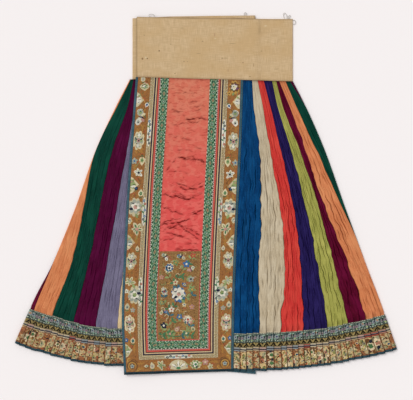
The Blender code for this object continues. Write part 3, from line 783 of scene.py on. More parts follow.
# Long folds that stand out among the pleats: side, place across, first and last share down, strength
longFolds = (
    (1, 1.3, 0.34, 0.62, 0.9), (1, 2.5, 0.1, 0.42, 0.5), (1, 2.3, 0.55, 0.88, 0.6),
    (1, 5.35, 0.42, 0.7, 0.6), (1, 6.3, 0.6, 0.9, 0.5), (1, 9.4, 0.5, 0.86, 0.6), (1, 12.4, 0.3, 0.56, 0.6),
    (1, 14.6, 0.62, 0.9, 0.7), (1, 17.3, 0.2, 0.5, 0.5), (1, 23.3, 0.45, 0.8, 0.5),
    (-1, 5.4, 0.3, 0.6, 0.7), (-1, 6.5, 0.55, 0.85, 0.6), (-1, 9.4, 0.35, 0.7, 0.6),
    (-1, 13.4, 0.5, 0.88, 0.6),
)


# Where the cloth of a pleat has its columns, on top and where the wrap hides it
fineShares = (0, 0.05, 0.11, 0.22, 0.33, 0.41, 0.47, 0.53, 0.62, 0.69, 0.74, 0.79, 0.87, 0.94)
plainShares = (0, 0.5)


# The pleated gores of one side, from the panel over the side fold to the back panel.
# A place across the cloth is counted in pleats from the panel, so 4.5 is half way over the fifth.
class Section:

    def __init__(self, label, side, fold, gores, topSeam):
        self.label = label
        self.side = side
        self.fold = fold
        self.gores = gores
        self.topSeam = topSeam
        self.known = {}
        self.knownLines = {}
        self.starts = [0]
        for gore in gores:
            self.starts.append(self.starts[-1] + gore[1])

    def hemHeight(self, x):
        low, rise, start, run = hemLines[self.side]
        aside = x - start if self.side > 0 else min(0, x - start)
        return low + rise * (aside / run) ** 2

    def rowHeight(self, x, footX, down, onTop):
        seam = seamHeight(self.topSeam if onTop else backSeam, x) - layers["gap"]
        turned = smooth((down - borderTurn) / (borderStart - borderTurn))
        return lerp(seam, lerp(self.hemHeight(x), self.hemHeight(footX), turned), down)

    def reachOf(self, edge, down, onTop):
        x = edge(0)
        footX = x
        for _ in range(4):
            footX = edge(self.hemHeight(footX))
            x = edge(self.rowHeight(x, footX, down, onTop))
        inward = self.side * (curve(down7, self.fold, down) - x) - hemLift(down)
        reach = inward + (pi / 2 - 1) * folds["radius"]
        return reach if onTop else -reach

    # Reach of each gore's edges at one row
    def edges(self, down):
        if down in self.known:
            return self.known[down]
        gap = layers["gap"]
        if self.side > 0:
            first = self.reachOf(lambda y: panelEdge(2, y) + gap, down, True)
            last = self.reachOf(lambda y: backEdge(under["backRight"], y) + gap, down, False)
        else:
            first = self.reachOf(lambda y: under["innerLeft"] - gap, down, True)
            last = self.reachOf(lambda y: backEdge(under["backLeft"], y) - gap, down, False)
        found = [first]
        for _, _, table in self.gores:
            if table is not None:
                found.append(curve(down7, table, down))
        hidden = sum(1 for gore in self.gores if gore[2] is None)
        start = found[-1]
        for i in range(hidden):
            found.append(lerp(start, last, (i + 1) / hidden))
        self.known[down] = found
        return found

    # How far the edge of a pleat strays along the cloth, in soft uneven waves
    def stray(self, line, down, reach):
        if line == 0 or reach < pleats["foldFade"]:
            return 0
        length = down * skirtLength
        slow = waver(length / pleats["wanderWaves"][0], line * 5.3, self.side * 3.1)
        quick = waver(length / pleats["wanderWaves"][1], line * 7.7, self.side * 8.3)
        free = smooth((down - 0.03) / 0.2) * smooth((borderStart - down) / 0.05)
        much = free * smooth((reach - pleats["foldFade"]) / pleats["foldRun"])
        return pleats["wander"] * much * (1.4 * slow + quick)

    # How deep the long folds are at a place
    def longFold(self, place, down):
        deep = 0
        for side, middle, first, last, strength in longFolds:
            if side == self.side and abs(place - middle) < 0.6 and first < down < last:
                ends = smooth((down - first) / 0.06) * smooth((last - down) / 0.06)
                line = middle + 0.16 * waver(down * 22, middle * 3.7, 2)
                deep += strength * ends * hump(place - line, 0.1)
        return deep

    # Reach of every pleat's edge at one row
    def lines(self, down):
        if down in self.knownLines:
            return self.knownLines[down]
        edges = self.edges(down)
        found = []
        for number, gore in enumerate(self.gores):
            room = min(1, abs(edges[number] - edges[number + 1]) / gore[1] / pleats["narrow"])
            if self.side < 0:
                room *= pleats["leftWander"]
            for step in range(gore[1]):
                reach = lerp(edges[number], edges[number + 1], step / gore[1])
                found.append(reach + room * self.stray(len(found), down, reach))
        found.append(edges[-1])
        self.knownLines[down] = found
        return found

    # Form of one pleat: how high the cloth stands at a share of the way over it, 0 to 1.
    # The valleys are narrow, and come and go along their length. Near the hem the pleats lie like steps.
    def rise(self, line, share, down):
        slow, middling, quick = (down * skirtLength / wave for wave in pleats["valleyWaves"])
        nearest = line + (1 if share > 0.5 else 0)
        deep = lerp(0.35, 1, smooth((waver(slow, nearest * 4.7, self.side * 2.3) + 0.18) / 0.4))
        valley = 1 - smooth(min(share, 1 - share) / 0.11)
        second = 0.75 * smooth((waver(middling, line * 6.1, self.side * 4.9) - 0.02) / 0.36)
        third = 0.5 * smooth((waver(quick, line * 9.1, self.side * 7.9) - 0.04) / 0.36)
        folded = 1 - deep * valley - second * hump(share - 0.47, 0.045) - third * hump(share - 0.74, 0.04)
        step = share / 0.92 if share < 0.92 else (1 - share) / 0.08
        return lerp(folded, step, pressedAt(down))

    # Reach, place across the skirt and height of a thread, before it settles
    def across(self, line, share, down, through, trim):
        lines = self.lines(down)
        reach = lerp(lines[line], lines[line + 1], share) + trim
        inward, height = overFold(folds["radius"], reach, through)
        return reach, curve(down7, self.fold, down) - self.side * (inward + hemLift(down)), height

    # Where one row crosses a place across the cloth, through millimetres in from its outer face
    def rowPoint(self, place, down, through, trim):
        line = min(int(place + 1e-6), self.starts[-1] - 1)
        share = place - line
        lift = hemLift(down)
        radius = folds["radius"]
        quarter = pi * radius / 2
        reach, x, height = self.across(line, share, down, through, trim)
        y = self.rowHeight(x, self.across(line, share, 1, through, trim)[1], down, reach > 0)
        if reach > quarter:
            settle = smooth((reach - quarter) / folds["settle"])
            lift = hemLift(down + hemLeads["top"] * settle)
            height -= settle * (2 * radius - layerStep - layers["cloth"])
            depth = lerp(pleats["waistHeight"], pleats["hemHeight"], smooth(down / pleats["fullAt"]))
            depth *= smooth((reach - quarter) / pleats["foldFade"])
            ridge = self.rise(line, share, down)
            if self.side > 0:
                height += overInner(x)
            else:
                covered = smooth((x - panelEdge(1, y) + pleats["pressStart"]) / pleats["pressLength"])
                depth *= lerp(pleats["leftHeight"], pleats["pressed"], covered)
            folded = ridge - pleats["longFoldShare"] * self.longFold(place, down)
            height += folded * depth * pleats["ridgeShare"]
            loose = smooth((borderStart - down) / 0.04) * smooth(down / 0.03) * smooth(depth - 0.6)
            across, along = pleats["crinkleScale"]
            height += pleats["crinkle"] * loose * waver(reach * across, y * along, self.side * 5)
            y -= pleats["scallop"] * ridge * down ** pleats["scallopPower"]
            stepped = pressedAt(down) * smooth((reach - pleats["foldRun"]) / pleats["foldRun"])
            y += pleats["ribbonStep"] * (chance(line, self.side, 3) - 0.5) * stepped
        return x, y, height + lift

    # The border is straight from its top row to the hem
    def point(self, place, down, through, trim=0):
        if down <= borderStart:
            return self.rowPoint(place, down, through, trim)
        top = self.rowPoint(place, borderStart, through, trim)
        foot = self.rowPoint(place, 1, through, trim)
        share = (down - borderStart) / (1 - borderStart)
        return tuple(lerp(first, second, share) for first, second in zip(top, foot))

    # Painted shade of a fold: 1 in a valley, 0 on a ridge, with painted shadow under the waistband at the
    # top seam
    def shade(self, place, down):
        line = min(int(place + 1e-6), self.starts[-1] - 1)
        share = place - line
        # Painted shadow that the waistband casts along the top seam
        seam = foldShade["seam"] * hump(down * skirtLength, foldShade["seamWidth"])
        lines = self.lines(down)
        if lerp(lines[line], lines[line + 1], share) < foldShade["lightReach"]:
            return seam
        if down >= borderStart:
            return foldShade["hemEdge"] * hump(min(share, 1 - share), foldShade["hemEdgeWidth"])
        low = foldShade["valley"] * max(0, 1 - self.rise(line, share, down)) ** 1.3
        much = 1 if self.side > 0 else pleats["leftShade"]
        return min(1, seam + much * (low + foldShade["longFold"] * self.longFold(place, down)))

    # Whether a pleat shows on top or goes round the fold
    def shows(self, number):
        name, _, table = self.gores[number]
        return table is not None or name == "maroon"

    # Places of a gore's columns, without its last edge
    def places(self, number):
        shares = fineShares if self.shows(number) else plainShares
        first = self.starts[number]
        return [first + pleat + share for pleat in range(self.gores[number][1]) for share in shares]

    # The pleats that show at the hem
    def hemPleats(self):
        found = []
        for number, (_, count, table) in enumerate(self.gores):
            if table is not None:
                found += range(self.starts[number], self.starts[number] + count)
        return [line for line in found if self.lines(1)[line + 1] >= hemLeast]

    # Carries millimetres across a pleat and up from its foot to the border's outer face
    def hemCanvas(self, line, start):
        def canvas(across, upward, height):
            place = line + pleats["edge"] * across / pleats["shown"]
            return self.point(place, 1 - (start + upward) / skirtLength, -layers["ribbonOut"] - height)

        return canvas


hemLeast = 8  # least reach from the side fold of a pleat that is sewn
right = Section("right", 1, rightFold, rightGores, frontSeam)
left = Section("left", -1, leftFold, leftGores, innerSeam)


# Bends a grid into a closed wall of cloth. For each of its columns and rows, place(column, row, through)
# gives a point, flat(column, row) its place on the flat cloth, and shade(column, row) its painted shade.
def layCloth(name, columns, rows, place, flat, finish, shade=None, wall=0.8):
    wide, tall = len(columns) - 1, len(rows) - 1
    form = bmesh.new()
    bmesh.ops.create_grid(form, x_segments=wide, y_segments=tall, size=0.5)
    for vertex in form.verts:
        vertex.co = Vector((round((vertex.co.x + 0.5) * wide), round((0.5 - vertex.co.y) * tall), 0))
    raised = bmesh.ops.extrude_face_region(form, geom=form.faces[:])
    lower = [item for item in raised["geom"] if isinstance(item, bmesh.types.BMVert)]
    bmesh.ops.translate(form, verts=lower, vec=(0, 0, -1))
    chart = form.loops.layers.uv.new("cloth")
    dark = form.verts.layers.float.new("shade")
    for face in form.faces:
        face.smooth = True
        for loop in face.loops:
            column, row = columns[round(loop.vert.co.x)], rows[round(loop.vert.co.y)]
            loop[chart].uv = flat(column, row) if flat else (column, row)
    for vertex in form.verts:
        column, row = columns[round(vertex.co.x)], rows[round(vertex.co.y)]
        if shade:
            vertex[dark] = shade(column, row)
        vertex.co = Vector(place(column, row, round(-vertex.co.z) * wall)) * mm
    if form.calc_volume(signed=True) < 0:
        bmesh.ops.reverse_faces(form, faces=form.faces[:])
    mesh = bpy.data.meshes.new(name)
    form.to_mesh(mesh)
    form.free()
    mesh.set_sharp_from_angle(angle=radians(layers["sharp"]))
    mesh.materials.append(finishes[finish])
    piece = addObject(name, mesh)
    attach(piece, "root")
    return piece


# Hides the node that a laid piece of cloth takes the place of
def dress(node, slot):
    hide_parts(node)


# Wall, slot and width of cut of a ribbon, or of a binding, which is folded over the edge
def trimOf(name, width):
    if name == "binding":
        return layers["ribbonOut"] + layers["cloth"], "teal_binding", layers["bindingCut"]
    return layers["ribbonWall"], name, width


# Place on the flat ribbon or silk, with the cloth that each pleat takes in
def clothAcross(place):
    line = int(place + 1e-6)
    return line * pleats["clothInEach"] + min((place - line) / pleats["edge"], 1) * pleats["shown"]


def makeGore(section, number):
    colour = section.gores[number][0]
    shown = section.shows(number)
    places = section.places(number) + [section.starts[number + 1]]
    foot = 1 - (hemBorder[-1][1] + layers["gap"]) / skirtLength
    liftStart = borderStart - hemLeads["run"] / skirtLength
    step = pleats["rowStep"] / skirtLength if shown else pleats["hiddenStep"]
    rows = stepsAlong((0, liftStart, step), (liftStart, borderStart, step)) + [foot]

    def place(at, down, through):
        trim = layers["seamTrim"] * ((at == places[-1]) - (at == places[0]))
        return section.point(at, down, through, trim)

    def flat(at, down):
        return (clothAcross(at), down * skirtLength)

    name = section.label + "_gore_" + colour
    piece = layCloth(name + "_silk", places, rows, place, flat, "silk" + colour.capitalize(),
                     section.shade if shown else None, layers["silkWall"])
    widths = [abs(section.edges(row)[number] - section.edges(row)[number + 1]) for row in down7]
    dress(name, "silk_" + colour)


def makeHemBorder(section):
    places = []
    for number in range(len(section.gores)):
        places += section.places(number)
    places.append(section.starts[-1])
    start = sum(row[1] for row in hemBorder)
    reaches = section.edges(1)
    for name, width, finish in hemBorder:
        last = name == "binding"
        top = 1 - (start - layers["gap"] / 2) / skirtLength
        foot = 1 if last else 1 - (start - width + layers["gap"] / 2) / skirtLength
        start -= width
        count = max(2, round(width / pleats["ribbonRow"]))
        wall, slot, cut = trimOf(name, width)

        def place(at, row, through):
            inward = through - layers["ribbonOut"]
            if last:
                rounded = layers["rounded"] * cos(pi * row / count) ** 2
                inward += rounded * (1 - 2 * through / wall)
            return section.point(at, lerp(top, foot, row / count), inward)

        def flat(at, row):
            return (clothAcross(at), width * row / count)

        # Painted shade between the pleats, deeper on the binding
        def shade(at, row):
            return min(1, section.shade(at, 1) + (pleats["bindingShade"] if last else 0))

        node = section.label + "_hem_" + name
        piece = layCloth(node + "_cloth", places, range(count + 1), place, flat, finish, shade, wall)
        dress(node, slot)


for section in (right, left):
    for number in range(len(section.gores)):
        makeGore(section, number)
    makeHemBorder(section)
print("gores and hem borders laid")


# Under layers: the plain inner panel, its binding and the back panel

def innerPoint(x, share, through):
    foot = lerp(under["innerFoot"][0], under["innerFoot"][1],
                (x - under["innerLeft"]) / (under["innerRight"] - under["innerLeft"]))
    y = lerp(innerSeam[0] - layers["gap"], foot, share)
    return x, y, layerStep + hemLift(share + hemLeads["inner"]) + layers["cloth"] - through


def makeInnerPanel():
    edge = under["innerRight"] - under["binding"]
    foot = 1 - under["binding"] / skirtLength
    rows = stepsBetween(*under["coarse"])
    rows += stepsBetween(under["fineFrom"], foot - layers["gap"] / skirtLength, under["fineStep"])
    columns = stepsBetween(under["innerLeft"], edge - layers["gap"], under["columnStep"])
    piece = layCloth("inner_panel_silk", columns, rows, innerPoint,
                     lambda x, share: (x, share * skirtLength), "silkBeige")
    dress("inner_panel", "silk_beige")
    # Down the free edge, then round the corner along the foot
    count = under["bindingRows"]
    down = stepsBetween(0, 1, under["bindingSteps"][0])
    along = stepsBetween(1, 0, under["bindingSteps"][1])[1:]
    path = [(share, True) for share in down] + [(share, False) for share in along]

    def place(step, row, through):
        share, onEdge = path[step]
        inset = under["binding"] * (1 - row / count)
        if onEdge:
            return innerPoint(under["innerRight"] - inset, share * (1 - inset / skirtLength), through)
        x = lerp(under["innerLeft"], under["innerRight"] - inset, share)
        return innerPoint(x, 1 - inset / skirtLength, through)

    cell = under["bindingCell"]
    piece = layCloth("inner_panel_binding_silk", range(len(path)), range(count + 1), place,
                     lambda step, row: (step * cell[0], row * cell[1]), "tealBinding", None, layers["cloth"])
    dress("inner_panel_binding", "teal_binding")


def makeBackPanel():
    columns, rows = under["backGrid"]
    cell = under["backCell"]

    def place(column, row, through):
        y = lerp(under["backTop"] - layers["gap"], under["backFoot"], row / rows)
        x = lerp(backEdge(under["backLeft"], y), backEdge(under["backRight"], y), column / columns)
        if row == 0:
            y = seamHeight(backSeam, x) - layers["gap"]
        return x, y, through

    piece = layCloth("back_panel_damask", range(columns + 1), range(rows + 1), place,
                     lambda column, row: (column * cell[0], row * cell[1]), "damask")
    dress("back_panel", "coral_damask")


makeInnerPanel()
makeBackPanel()
print("under layers laid")


# Front panel

creaseForm = {"nearX": 14, "nearY": 16, "bow": 6, "wander": (5, 2), "waves": (13, 4.5), "end": 0.12,
              "endRun": 0.25, "trough": 1.2, "lip": 0.6, "beside": 0.6, "dark": 1.4, "darkBeside": 0.9}


# Height and painted shade that the creases give a place on the panel. Each is a trough between two lips,
# with a finer one beside it, and both wander.
def creaseAt(x, y):
    form = creaseForm
    height = 0
    dark = 0
    for x0, y0, x1, y1, depth, width, bow in creases:
        if not min(x0, x1) - form["nearX"] < x < max(x0, x1) + form["nearX"]:
            continue
        share = (x - x0) / (x1 - x0)
        inside = min(1, max(0, share))
        line = lerp(y0, y1, inside) + bow * form["bow"] * inside * (1 - inside)
        if abs(y - line) > form["nearY"]:
            continue
        line += form["wander"][0] * waver(x / form["waves"][0], y0 * 0.7, 1.5)
        line += form["wander"][1] * waver(x / form["waves"][1], y0 * 0.9, 3.5)
        ends = smooth((share + form["end"]) / form["endRun"])
        ends *= smooth((1 + form["end"] - share) / form["endRun"])
        fade = ends * min(1.2, max(0.15, 0.75 + 1.3 * waver(x / 8, y0 * 1.3, 4.5)))
        gap = y - line
        beside = gap - width * 1.9 - 2.5 * waver(x / 10, y0 * 1.7, 6.5)
        besideFade = ends * max(0, 0.2 + 1.6 * waver(x / 9, y0 * 2.1, 8.5))
        lip = form["lip"] * hump(gap + width * 1.3, width)
        height += form["trough"] * depth * fade * (lip - hump(gap, width * 0.8))
        height -= form["beside"] * depth * besideFade * hump(beside, width * 0.6)
        # Painted shade in the troughs
        dark += form["dark"] * depth * fade * hump(gap, width * 0.7)
        dark += form["darkBeside"] * depth * besideFade * hump(beside, width * 0.45)
    return height, min(1, max(0, dark))


# A point of the front panel, out from its upper face
def panelPoint(across, upward, out):
    share = across / panel["width"]
    down = 1 - upward / panel["length"]
    x = 0
    y = 0
    for _ in range(4):
        foot = lerp(panel["footLeft"], panel["footRight"], share)
        y = lerp(seamHeight(frontSeam, x) - layers["gap"], foot, down)
        x = lerp(panelEdge(1, y), panelEdge(2, y), share)
    lift = hemLift(down + hemLeads["front"])
    rise = (panel["rise"] + lift) * (1 - smooth((across - panel["riseFlat"]) / panel["riseFade"]))
    rippleX, rippleY = panel["rippleSize"]
    out += creaseAt(x, y)[0] + panel["ripple"] * waver(x / rippleX, y / rippleY, 2.5)
    return x, y, 2 * layerStep + layers["cloth"] + lift + rise + out


# Painted shade of the creases, and painted shadow under the waistband along the panel's top
def panelShade(across, upward):
    x, y, _ = panelPoint(across, upward, 0)
    seam = foldShade["panelBandShadow"] * hump(panel["length"] - upward, foldShade["seamWidth"])
    return min(1, creaseAt(x, y)[1] + seam)


def makePanelGround():
    edge = bindingSide + layers["gap"]
    inner = panel["width"] - borderSide
    sideStep, footStep = panel["underBorder"]
    columns = stepsAlong((edge, borderSide, sideStep), (borderSide, inner, panel["groundStep"]),
                         (inner, panel["width"] - edge, sideStep))
    squareTop = borderFoot + panel["squareHeight"] + panel["squareMargin"]
    rows = stepsAlong((panel["length"], squareTop, panel["creaseStep"]),
                      (squareTop, borderFoot, panel["underSquare"]),
                      (borderFoot, bindingFoot + layers["gap"], footStep))
    piece = layCloth("front_panel_damask", columns, rows,
                     lambda across, upward, through: panelPoint(across, upward, -through),
                     None, "damask", panelShade)
    dress("front_panel", "coral_damask")


# Runs down the left side, along the foot and up the right side, between two insets, with mitred corners.
# place gives the place on the panel of a share along the run and a share in from its outer side.
class Track:

    def __init__(self, side, foot, sideWidth, footWidth):
        self.outer = (side, foot)
        self.inner = (side + sideWidth, foot + footWidth)
        self.width = sideWidth
        sideLength = panel["length"] - foot
        footLength = panel["width"] - 2 * side
        self.length = 2 * sideLength + footLength
        self.breaks = (sideLength / self.length, (sideLength + footLength) / self.length)

    def place(self, share, inward):
        side = lerp(self.outer[0], self.inner[0], inward)
        foot = lerp(self.outer[1], self.inner[1], inward)
        first, second = self.breaks
        if share <= first:
            return side, lerp(panel["length"], foot, share / first)
        if share <= second:
            return lerp(side, panel["width"] - side, (share - first) / (second - first)), foot
        return panel["width"] - side, lerp(foot, panel["length"], (share - second) / (1 - second))

    def shares(self, step):
        first, second = self.breaks
        size = step / self.length
        return stepsAlong((0, first, size), (first, second, size), (second, 1, size))


def makePanelBorders():
    side = 0
    foot = 0
    inset = layers["gap"] / 2
    for number, (name, sideWidth, footWidth, finish) in enumerate(panelBorder):
        outset = 0 if number == 0 else inset
        track = Track(side + outset, foot + outset, sideWidth - outset - inset, footWidth - outset - inset)
        side += sideWidth
        foot += footWidth
        shares = track.shares(panel["alongStep"])
        count = max(3, round(sideWidth / panel["ribbonRow"]))
        isBinding = name == "binding"
        wall, slot, cut = trimOf(name, sideWidth)

        def place(share, row, through):
            across, upward = track.place(share, row / count)
            out = layers["ribbonOut"] - through
            if isBinding:
                out -= panel["bindingRound"] * (1 - smooth(2 * row / count)) * (1 - through / wall)
            else:
                out += panel["ribbonCrown"] * sin(pi * row / count) ** 0.5
            return panelPoint(across, upward, out)

        def flat(share, row):
            return (share * track.length, sideWidth * row / count)

        # Painted shade: the creases' shade carries onto the ribbons, and the binding is darker along the
        # foot
        def shade(share, row):
            across, upward = track.place(share, row / count)
            below = panel["footShade"] if isBinding and upward <= footWidth else 0
            return max(below, panel["ribbonShade"] * panelShade(across, upward))

        node = "front_panel_" + name
        piece = layCloth(node + "_cloth", shares, range(count + 1), place, flat, finish, shade, wall)
        dress(node, slot)


def makeSquareGround():
    margin = panel["squareMargin"]
    step = panel["squareStep"]
    columns = stepsBetween(borderSide + margin, panel["width"] - borderSide - margin, step)
    bottom = borderFoot + margin
    rows = stepsBetween(bottom + panel["squareHeight"], bottom, step)

    def place(across, upward, through):
        return panelPoint(across, upward, layers["ribbonOut"] - through)

    piece = layCloth("front_panel_square_ground", columns, rows, place, None, "goldGround", None,
                     layers["ribbonWall"])
    dress("front_panel_square", "gold_embroidery")


makePanelGround()
makePanelBorders()
makeSquareGround()
print("front panel laid")


# Waistband: one strip of hemp, from its inner end round both folds to its free end in front

# Stations along the strip: fold, side, reach from the fold's crest, top edge, and whether it steps over
# the inner end
def bandStations():
    quarter = pi * folds["bandRadius"] / 2
    slack = quarter - folds["bandRadius"]
    turn = [quarter * share for share in (1, 0.6, 0.2, -0.2, -0.6, -1)]
    found = []

    def run(fold, side, reaches, tops, step):
        found.extend((fold, side, reach, top, step) for reach, top in zip(reaches, tops))

    settled = quarter + folds["bandSettle"]
    inner = band["innerEnd"] - band["left"] + slack
    run(band["left"], -1, (inner, inner * 0.6, inner * 0.3, settled), band["topsInner"], False)
    run(band["left"], -1, turn, [band["topLeft"]] * len(turn), False)
    middle = (band["right"] - band["left"]) / 2 + slack
    run(band["left"], -1, (-middle * 0.5, -middle), [band["topBack"]] * 2, False)
    run(band["right"], 1, (-middle * 0.5,), (band["topBack"],), False)
    run(band["right"], 1, turn[::-1], [band["topRight"]] * len(turn), False)
    edge = band["right"] - under["innerRight"]
    free = band["right"] - band["freeEnd"] + slack
    reaches = [settled] + [edge + part for part in band["overInner"]]
    reaches += [edge * share for share in band["across"]] + [free + part for part in band["atEnd"]]
    run(band["right"], 1, reaches, band["topsFree"], True)
    return found


# Top edge of the band's outer layer
def outerTop(x):
    edge = band["right"] - under["innerRight"]
    places = [band["freeEnd"]] + [band["right"] - edge * share for share in reversed(band["across"])]
    places.append(band["right"] - edge - band["overInner"][-1])
    return curve(places, band["topsFree"][7:2:-1], min(max(x, places[0]), places[-1]))


# Soft creases of the band's outer layer, in its height and its painted shade: two upright, two level near
# its top right
def bandRelief(x, y):
    upright = hump(x - 142 - 1.5 * waver(y / 30, 0.5, 0.5), 1.8) * smooth((y - 415) / 20)
    upright += 0.7 * hump(x - 190 - 2 * waver(y / 26, 3.5, 0.5), 1.8) * hump(y - 395, 30)
    level = sum(hump(y - height - 2 * waver(x / 40, height, 0.5), 1.5) for height in (438, 427))
    level *= smooth((x - 140) / 25) * smooth((205 - x) / 20)
    return 0.25 * waver(x / 38, y / 30, 7.5) - 0.25 * upright - 0.22 * level


def makeBand():
    stations = bandStations()
    quarter = pi * folds["bandRadius"] / 2
    rows = band["rows"]

    def spot(station, share, deep):
        fold, side, reach, top, step = station
        inward, height = overFold(folds["bandRadius"], reach, deep)
        x = fold - side * inward
        if reach > quarter:
            settled = smooth((reach - quarter) / folds["bandSettle"])
            height -= settled * (2 * folds["bandRadius"] - layerStep - layers["bandCloth"])
        if step:
            height += layerStep * smooth((under["innerRight"] + band["stepLead"] - x) / band["stepRun"])
        if side < 0 and reach > 0:
            seam = seamHeight(innerSeam, x)
        else:
            seam = seamHeight(frontSeam if reach > 0 else backSeam, x)
        y = lerp(top, seam, share)
        if step and reach > quarter + 6:
            height += bandRelief(x, y)
        return x, y, height

    columns = []
    for index in range(len(stations) - 1):
        first, second = stations[index], stations[index + 1]
        length = abs(second[2] - first[2]) if first[0] == second[0] else band["backLength"]
        count = max(1, round(length / band["columnStep"]))
        columns += [(index, step / count) for step in range(count)]
    columns.append((len(stations) - 2, 1))

    def place(column, row, deep):
        index, share = columns[column]
        first, second = stations[index], stations[index + 1]
        down = row / rows
        if first[0] == second[0]:
            reach, top = (lerp(first[part], second[part], share) for part in (2, 3))
            return spot((first[0], first[1], reach, top, first[4]), down, deep)
        ends = (spot(first, down, deep), spot(second, down, deep))
        return tuple(lerp(a, b, share) for a, b in zip(*ends))

    lengths = [0]
    for column in range(len(columns) - 1):
        gap = Vector(place(column + 1, 0, 0)) - Vector(place(column, 0, 0))
        lengths.append(lengths[-1] + gap.length)

    # Painted shade along the top edges, the free end and the seam, in the creases, and where the outer layer
    # covers the inner one
    def shade(column, row):
        x, y, height = place(column, row, 0)
        if height < layerStep:
            return 0
        fromTop = row * band["depth"] / rows
        foot = bandShade["foot"] * hump((rows - row) * band["depth"] / rows, 3)
        if column < len(columns) / 2:
            covered = smooth((x - band["freeEnd"] + 1.6) / 1.4) * smooth((outerTop(x) + 1.4 - y) / 1.2)
            end = bandShade["innerEnd"] * smooth((x - band["innerEnd"] + 2) / 1.5)
            top = bandShade["innerTop"] * hump(fromTop, 1.6)
            return min(1, foot + top + bandShade["covered"] * covered + end)
        end = smooth((band["freeEnd"] + 2 - x) / 1.6) if x < band["freeEnd"] + 6 else 0
        top = bandShade["top"] * hump(fromTop, 2.2)
        return min(1, foot + top + bandShade["freeEnd"] * end + max(0, -0.8 * bandRelief(x, y) - 0.1))

    def flat(column, row):
        return (lengths[column], band["depth"] * row / rows)

    piece = layCloth("waistband_hemp", range(len(columns)), range(rows + 1), place, flat, "hemp", shade,
                     layers["bandWall"])
    dress("waistband", "hemp_band")


makeBand()
print("waistband laid")

# Thread loops: two plies twisted round each other
loops = (
    # node, foot x, foot y, foot width, width, height, lean, level
    ("loop_left", -144, 468.5, 12, 20, 7, -2, 5.5),
    ("loop_middle", 103, 472.8, 4, 9, 7.4, 1, 3.2),
    ("loop_right_long", 211, 464, 6, 13, 15, -3, 3.2),
    ("loop_right_short", 218, 464, 3, 6, 9, 4, 3.2),
    ("loop_corner", 230.2, 455, 9, 14, 9, 0, 2.2),
)
loopThread = {
    "radius": 0.8,
    "ply": 0.42,
    "twist": 3.2,
    "points": 60,
    "sunk": 0.3,
    "swell": 0.8,
    "arch": 0.9,
    "sideways": 0.8,
}


def makeLoop(name, footX, footY, footWidth, width, height, lean, level):
    cord = bpy.data.curves.new(name, "CURVE")
    cord.dimensions = "3D"
    cord.bevel_depth = loopThread["ply"] * mm
    cord.bevel_resolution = 2
    cord.use_fill_caps = True
    points = []
    for index in range(loopThread["points"]):
        turn = pi * index / (loopThread["points"] - 1)
        swell = lerp(footWidth, width, sin(turn) ** loopThread["swell"]) / 2
        along = -cos(turn) * swell + lean * sin(turn)
        up = loopThread["radius"] * loopThread["sunk"] + height * sin(turn) ** loopThread["arch"]
        if footX > band["right"]:  # the corner's loop stands out sideways from the fold
            points.append(Vector((footX + up * loopThread["sideways"], footY + along, level)))
        else:
            points.append(Vector((footX + along, footY + up, level)))
    for ply in (0, pi):
        spline = cord.splines.new("POLY")
        spline.points.add(len(points) - 1)
        walked = 0
        for index, point in enumerate(points):
            ahead = aheadAt(points, index).normalized()
            aside = ahead.cross(Vector((0, 0, 1)))
            if index:
                walked += (point - points[index - 1]).length
            angle = walked / loopThread["twist"] * 2 * pi + ply
            out = aside * cos(angle) + Vector((0, 0, sin(angle)))
            turned = point + out * loopThread["ply"]
            spline.points[index].co = (turned.x * mm, turned.y * mm, turned.z * mm, 1)
    piece = addObject(name + "_thread", cord)
    bpy.context.view_layer.objects.active = piece
    piece.select_set(True)
    bpy.ops.object.convert(target="MESH")
    piece.select_set(False)
    piece.data.materials.clear()
    piece.data.materials.append(finishes["cotton"])
    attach(piece, "root")
    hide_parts(name)


for loop in loops:
    makeLoop(*loop)
print("loops twisted")

# Embroidery: satin stitch stands up from the cloth in low closed pads, and couched cords in ridges.
# A motif is drawn in millimetres round its own middle, and a canvas carries it to the cloth.
stitch = {"sunk": -0.4, "edge": 0.1, "pad": 0.32, "layer": 0.2, "shrink": 0.7, "crown": 1.15, "sharp": 70}


# Keeps the part of an outline on one side of a straight edge
def cutOutline(outline, axis, edge, side):
    kept = []
    for index, point in enumerate(outline):
        before = outline[index - 1]
        inside = (point[axis] - edge) * side >= 0
        wasInside = (before[axis] - edge) * side >= 0
        if inside != wasInside:
            share = (edge - before[axis]) / (point[axis] - before[axis])
            kept.append((lerp(before[0], point[0], share), lerp(before[1], point[1], share)))
        if inside:
            kept.append(point)
    return kept


# A point that is turned round (a, b)
def turnedAt(a, b, u, v, turn):
    return (a + u * cos(turn) - v * sin(turn), b + u * sin(turn) + v * cos(turn))


